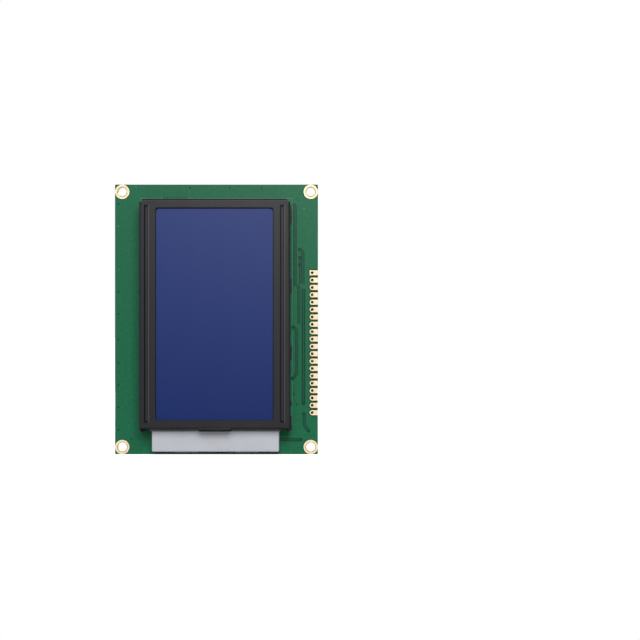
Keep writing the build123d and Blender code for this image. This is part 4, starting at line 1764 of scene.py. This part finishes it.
    def bundles(self) -> list[Run]:
        """Parallel tracks from the header, under the chip column and round to the lower driver."""
        return [
            offset(run, pitch * index)
            for run, count, pitch in self.bundled
            for index in range(count)
        ]

    def build(self) -> None:
        """Draw the back."""
        lower_runs, vias = self.lower_runs()
        bundled = self.bundles() + lower_runs
        fine: list[Run] = []
        for runs, more_vias in (self.left_comb(), self.right_comb(), self.top_rows()):
            fine += runs
            vias += more_vias
        for name, runs, form, core, gap in (
            ("back_bundled_tracks", bundled, self.fine_form, BUNDLE_TRACK, FINE_GAP),
            ("back_fine_tracks", fine, self.fine_form, FINE_TRACK, FINE_GAP),
            ("back_wide_tracks", list(self.wide), self.wide_form, MASK, TRACK_EDGE),
        ):
            Tracks(self.board, Face.BACK, name, runs, form, core, gap).build()
        for name, dots, finish, slot in (
            ("back_vias", self.rims, TRACK_EDGE, "green_board"),
            ("back_via_plugs", self.plugs, FINE_TRACK, "green_board"),
            ("back_test_dots", self.test_dots, GOLD, "gold_pad"),
            ("back_through_vias", self.through, TRACK_EDGE, "green_board"),
        ):
            places = list(dots.places) or vias
            stamp_discs(places, self.board, Face.BACK, dots.radius, dots.rise)
            adopt(name, finish)


@dataclass(frozen=True)
class Number:
    """A plain number, where its middle is printed, the type's size and its turn in degrees."""

    text: str
    place: Point
    size: float
    turn: float = 0.0


@dataclass
class Legend:
    """White print on the back: bracket frames round the chips, pin numbers and the lead marks.

    All places are in millimetres. The unfitted frames give low x, high x, low z, high z, and
    whether the gap is in the upright sides.
    """

    board: Board
    holes: HoleDetail
    chips: list[str]
    line: float = 0.26
    rise: float = 0.02
    half_long: float = 2.46
    half_short: float = 1.22
    gap: float = 0.8
    # The line beside the header, with one cut corner.
    header_right: float = 34.7
    header_left: float = 31.85
    header_cut: Point = (0.55, 0.6)
    header_over: float = 1.4
    header_under: float = 1.7
    corner_frame: tuple[Point, ...] = ((7.7, 34.9), (7.7, 31.6), (12.4, 31.6), (12.4, 34.9))
    unfitted: tuple[tuple[float, float, float, float, bool], ...] = (
        (6.0, 14.1, 28.7, 38.2, True),
        (15.0, 17.1, 31.5, 34.8, True),
        (23.6, 28.6, 22.35, 24.7, False),
        (23.6, 28.6, 19.9, 22.25, False),
        (11.3, 14.1, -24.9, -22.7, True),
        (-10.5, -7.9, -43.8, -38.2, True),
        (-13.2, -10.6, -43.8, -38.2, True),
        (22.2, 25.3, -45.4, -39.0, True),
    )
    # Plain numbers, and plus and minus beside the leads.
    pin_number_x: float = 30.55
    pin_number_size: float = 1.7
    resistor_x: float = 4.4
    resistor_first_z: float = -13.3
    resistor_pitch: float = 2.6
    resistor_count: int = 6
    resistor_size: float = 1.5
    ends: tuple[Number, ...] = (
        Number("1", (33.8, 19.3), 1.8, 90),
        Number("20", (33.8, -36.2), 2.4, 90),
        Number("12", (11.6, 42.9), 2.3),
    )
    loose: tuple[Number, ...] = (
        Number("7", (-4.5, 3.2), 1.6, 90),
        Number("8", (22.6, -24.2), 1.6, 90),
        Number("9", (5.0, 30.6), 1.6, 90),
        Number("4", (18.4, 36.0), 1.6, 90),
        Number("13", (0.9, -39.0), 1.6, 90),
        Number("14", (16.4, -23.8), 1.6, 90),
        Number("15", (-17.1, -17.3), 1.6, 90),
        Number("16", (-17.1, 15.4), 1.6, 90),
        Number("17", (0.2, 1.6), 1.6, 90),
    )
    marks: tuple[Run, ...] = (
        [(3.1, -42.2), (1.9, -42.2)],
        [(2.5, -41.6), (2.5, -42.8)],
        [(-2.0, -42.2), (-3.2, -42.2)],
    )

    def bracket(
        self, left: float, right: float, low: float, high: float, upright: bool
    ) -> list[Run]:
        """Two facing brackets round a part.

        Args:
            left: low x.
            right: high x.
            low: low z.
            high: high z.
            upright: whether the gap is in the two upright sides.

        Returns:
            The two chains.
        """
        if upright:
            middle = (low + high) / 2
            upper, lower = middle + self.gap, middle - self.gap
            return [
                [(left, upper), (left, high), (right, high), (right, upper)],
                [(left, lower), (left, low), (right, low), (right, lower)],
            ]
        middle = (left + right) / 2
        near, far = middle - self.gap, middle + self.gap
        return [
            [(near, high), (left, high), (left, low), (near, low)],
            [(far, high), (right, high), (right, low), (far, low)],
        ]

    def chip_frames(self) -> list[Run]:
        """Frame every fitted chip.

        Returns:
            Two chains for each chip.
        """
        runs = []
        for name in self.chips:
            part = Footprint.read(name)
            across, up = part.turned(self.half_long, self.half_short)
            box = (part.x - across, part.x + across, part.z - up, part.z + up)
            runs += self.bracket(*box, part.upright())
        return runs

    def other_frames(self) -> list[Run]:
        """Frame the parts that aren't fitted, and draw the line beside the header.

        Returns:
            The chains.
        """
        top = self.holes.pin_one_z + self.header_over
        foot = self.holes.pin_one_z - self.holes.pitch * (self.holes.pins - 1) - self.header_under
        left, right = self.header_left, self.header_right
        inward, upward = self.header_cut
        cut = [(left, foot + upward), (left + inward, foot)]
        header = [(right, top), (left, top), *cut, (right, foot)]
        runs = [header, list(self.corner_frame)]
        for frame in self.unfitted:
            runs += self.bracket(*frame)
        return runs

    def numbers(self) -> list[Number]:
        """List the pin numbers, the header's ends, the resistor column and one for each lone part.

        Returns:
            Every number.
        """
        pins = [
            Number(str(index + 1), (self.pin_number_x, z), self.pin_number_size)
            for index, (_, z) in enumerate(self.holes.pin_places())
        ]
        column = [
            Number(
                str(index + 1),
                (self.resistor_x, self.resistor_first_z - self.resistor_pitch * index),
                self.resistor_size,
                90,
            )
            for index in range(self.resistor_count)
        ]
        return [*pins, *self.ends, *column, *self.loose]

    def print_number(self, number: Number) -> bpy.types.Object:
        """Print a plain number that reads rightly from behind.

        Args:
            number: what to print, and where.

        Returns:
            The number as a mesh.
        """
        deselect()
        bpy.ops.object.text_add()
        letters = bpy.context.object
        letters.data.body = number.text
        letters.data.size = number.size * MM
        letters.data.extrude = self.rise / 2 * MM
        letters.data.resolution_u = 2
        letters.data.align_x = "CENTER"
        letters.data.align_y = "CENTER"
        bpy.ops.object.convert(target="MESH")
        letters = bpy.context.object
        letters.rotation_euler = (QUARTER, math.radians(number.turn), math.pi)
        letters.location = (number.place[0] * MM, self.board.back * MM, number.place[1] * MM)
        bpy.ops.object.transform_apply(location=True, rotation=True, scale=True)
        return letters

    def build(self) -> None:
        """Print everything as one piece."""
        printed = [self.print_number(number) for number in self.numbers()]
        runs = self.chip_frames() + self.other_frames() + list(self.marks)
        frames = draw_lines(runs, self.board.back, self.line, self.rise)
        deselect()
        for piece in (*printed, frames):
            piece.select_set(True)
        bpy.context.view_layer.objects.active = frames
        bpy.ops.object.join()
        adopt("back_legend_print", WHITE_INK)


@dataclass(frozen=True)
class Lamp:
    """A square soft box: its name, place and side in metres, and its power in watts."""

    name: str
    place: tuple[float, float, float]
    side: float
    power: float


@dataclass
class Studio:
    """Camera, soft lamps, pale floor and the even white surround.

    Lengths are in metres. Seen in a mirror, the surround's strength rises from gloss_low to
    gloss_high between two heights, leans to the right, and gains side_gloss at both sides.
    """

    camera_place: tuple[float, float, float] = (0.0357, -0.45, -0.0002)
    lens_mm: float = 73.4
    sensor_mm: float = 36.0
    nearest: float = 0.01
    farthest: float = 50.0
    surround: float = 0.26
    gloss_low: float = 0.02
    gloss_high: float = 0.45
    gloss_foot: float = -0.3
    gloss_head: float = 0.25
    lean: float = 0.3
    side_gloss: float = 0.8
    side_start: float = 0.4
    side_full: float = 0.9
    floor_size: float = 3.0
    floor_y: float = 1.4
    floor_z: float = -0.0467
    floor_shade: float = 0.8
    lamps: tuple[Lamp, ...] = (
        Lamp("front_box", (0.05, -0.42, 0.2), 0.24, 1.82),
        Lamp("back_box", (0.0, 0.42, 0.21), 0.16, 1.65),
    )

    def camera(self) -> None:
        """Look straight along +Y from the photograph's place."""
        data = bpy.data.cameras.new("view_camera")
        data.lens = self.lens_mm
        data.sensor_width = self.sensor_mm
        data.clip_start = self.nearest
        data.clip_end = self.farthest
        holder = bpy.data.objects.new("view_camera", data)
        holder.location = self.camera_place
        holder.rotation_euler = (QUARTER, 0, 0)
        bpy.context.scene.collection.objects.link(holder)
        bpy.context.scene.camera = holder

    def light(self, lamp: Lamp) -> None:
        """Add one soft box that faces the module.

        Args:
            lamp: which one.
        """
        data = bpy.data.lights.new(lamp.name, "AREA")
        data.size = lamp.side
        data.energy = lamp.power
        holder = bpy.data.objects.new(lamp.name, data)
        holder.location = lamp.place
        holder.rotation_euler = Vector(lamp.place).to_track_quat("Z", "Y").to_euler()
        bpy.context.scene.collection.objects.link(holder)

    def mirrored(self, tree: Tree) -> Socket:
        """Work out the strength that a mirror sees: brighter upwards and to the right.

        Args:
            tree: the world's node tree.

        Returns:
            The strength.
        """
        place = {"Vector": add_node(tree, "ShaderNodeTexCoord").outputs["Generated"]}
        split = add_node(tree, "ShaderNodeSeparateXYZ", inputs=place)
        leaning = {0: split.outputs["X"], 1: self.lean, 2: split.outputs["Z"]}
        height = add_node(tree, MATH, {"operation": "MULTIPLY_ADD"}, leaning).outputs[0]
        rise = {
            "Value": height,
            "From Min": self.gloss_foot,
            "From Max": self.gloss_head,
            "To Min": self.gloss_low,
            "To Max": self.gloss_high,
        }
        gloss = add_node(tree, RANGE, inputs=rise).outputs["Result"]
        aside = add_node(tree, MATH, UNSIGNED, {0: split.outputs["X"]}).outputs[0]
        spread = {
            "Value": aside,
            "From Min": self.side_start,
            "From Max": self.side_full,
            "To Max": self.side_gloss,
        }
        sides = add_node(tree, RANGE, inputs=spread).outputs["Result"]
        return add_node(tree, MATH, inputs={0: gloss, 1: sides}).outputs[0]

    def world(self) -> None:
        """Surround the module: white for the camera, even for soft light, graded in a mirror."""
        world = bpy.data.worlds.new("white_surround")
        world.use_nodes = True
        bpy.context.scene.world = world
        tree = world.node_tree
        tree.nodes.clear()
        path = add_node(tree, "ShaderNodeLightPath")
        rays = {0: path.outputs["Is Camera Ray"], 1: path.outputs["Is Transmission Ray"]}
        seen = add_node(tree, MATH, LARGER, rays).outputs[0]
        glossy = path.outputs["Is Glossy Ray"]
        kinds = {"Factor": glossy, "A": self.surround, "B": self.mirrored(tree)}
        soft = add_node(tree, MIX, NUMBERS, kinds).outputs["Result"]
        strength = add_node(tree, MIX, NUMBERS, {"Factor": seen, "A": soft, "B": 1.0})
        white = {"Color": (1, 1, 1, 1), "Strength": strength.outputs["Result"]}
        back = add_node(tree, "ShaderNodeBackground", inputs=white)
        surface = {"Surface": back.outputs["Background"]}
        add_node(tree, "ShaderNodeOutputWorld", inputs=surface)

    def floor(self) -> None:
        """Lay a pale floor under the module, which keeps a light shadow."""
        deselect()
        place = (0, self.floor_y, self.floor_z)
        bpy.ops.mesh.primitive_plane_add(size=self.floor_size, location=place)
        floor = bpy.context.object
        floor.name = "pale_floor"
        made = bpy.data.materials.new("pale_floor")
        made.use_nodes = True
        tree = made.node_tree
        tree.nodes.clear()
        path = add_node(tree, "ShaderNodeLightPath")
        shade = (self.floor_shade, self.floor_shade, self.floor_shade, 1)
        plain = add_node(tree, "ShaderNodeBsdfDiffuse", inputs={"Color": shade})
        white = {"Color": (1, 1, 1, 1), "Strength": path.outputs["Is Camera Ray"]}
        glow = add_node(tree, "ShaderNodeEmission", inputs=white)
        parts = {0: plain.outputs[0], 1: glow.outputs[0]}
        both = add_node(tree, "ShaderNodeAddShader", inputs=parts)
        add_node(tree, "ShaderNodeOutputMaterial", inputs={"Surface": both.outputs[0]})
        floor.data.materials.append(made)

    def build(self) -> None:
        """Set up the whole studio."""
        self.camera()
        self.world()
        self.floor()
        for lamp in self.lamps:
            self.light(lamp)
        bpy.context.scene.view_settings.view_transform = "Standard"
        LOG.info("studio ready")


@dataclass(frozen=True)
class Wells:
    """How far the mask opens round the chips and the solder bridges, in millimetres."""

    chip: Point = (2.14, 0.92)
    bridge_margin: float = 0.28

    def bridge(self, name: str) -> Point:
        """Half sizes of the opening round a solder bridge.

        Args:
            name: the bridge's node.

        Returns:
            The long half, then the short half.
        """
        part = Footprint.read(name)
        halves = (part.half_across + self.bridge_margin, part.half_up + self.bridge_margin)
        return max(halves), min(halves)

    def around(self, chips: list[str], bridges: list[str]) -> dict[str, Point]:
        """Give the opening of each chip and bridge."""
        return {name: self.chip for name in chips} | {name: self.bridge(name) for name in bridges}


def cap_circles(overlap: float = 0.2) -> tuple[tuple[float, float, float], ...]:
    """Find where tracks stop under the resin caps.

    Args:
        overlap: how far a track runs in under a cap, in millimetres.

    Returns:
        Centre and reach of each cap in millimetres.
    """
    caps = [Footprint.read(f"{name}_driver_cap") for name in DRIVERS]
    return tuple((cap.x, cap.z, cap.half_across - overlap) for cap in caps)


def main() -> None:
    """Load the solids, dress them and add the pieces."""
    logging.basicConfig(level=logging.INFO, format="%(name)s: %(message)s")
    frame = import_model()
    nodes = frame["nodes"]
    board = Board.read()
    holes = HoleDetail(board)
    CadDress(nodes).build()
    ResinCaps().build()
    holes.build()
    chips = [name for name in nodes if name.startswith(("resistor_", "capacitor_"))]
    bridges = [name for name in nodes if name.startswith("jumper_bridge_")]
    PadEdges(board, holes, Wells().around(chips, bridges)).build()
    WindowShadow().build()
    FrontDrawing(board).build()
    BackDrawing(board, cap_circles()).build()
    Legend(board, holes, chips).build()
    Studio().build()


if __name__ == "__main__":
    main()
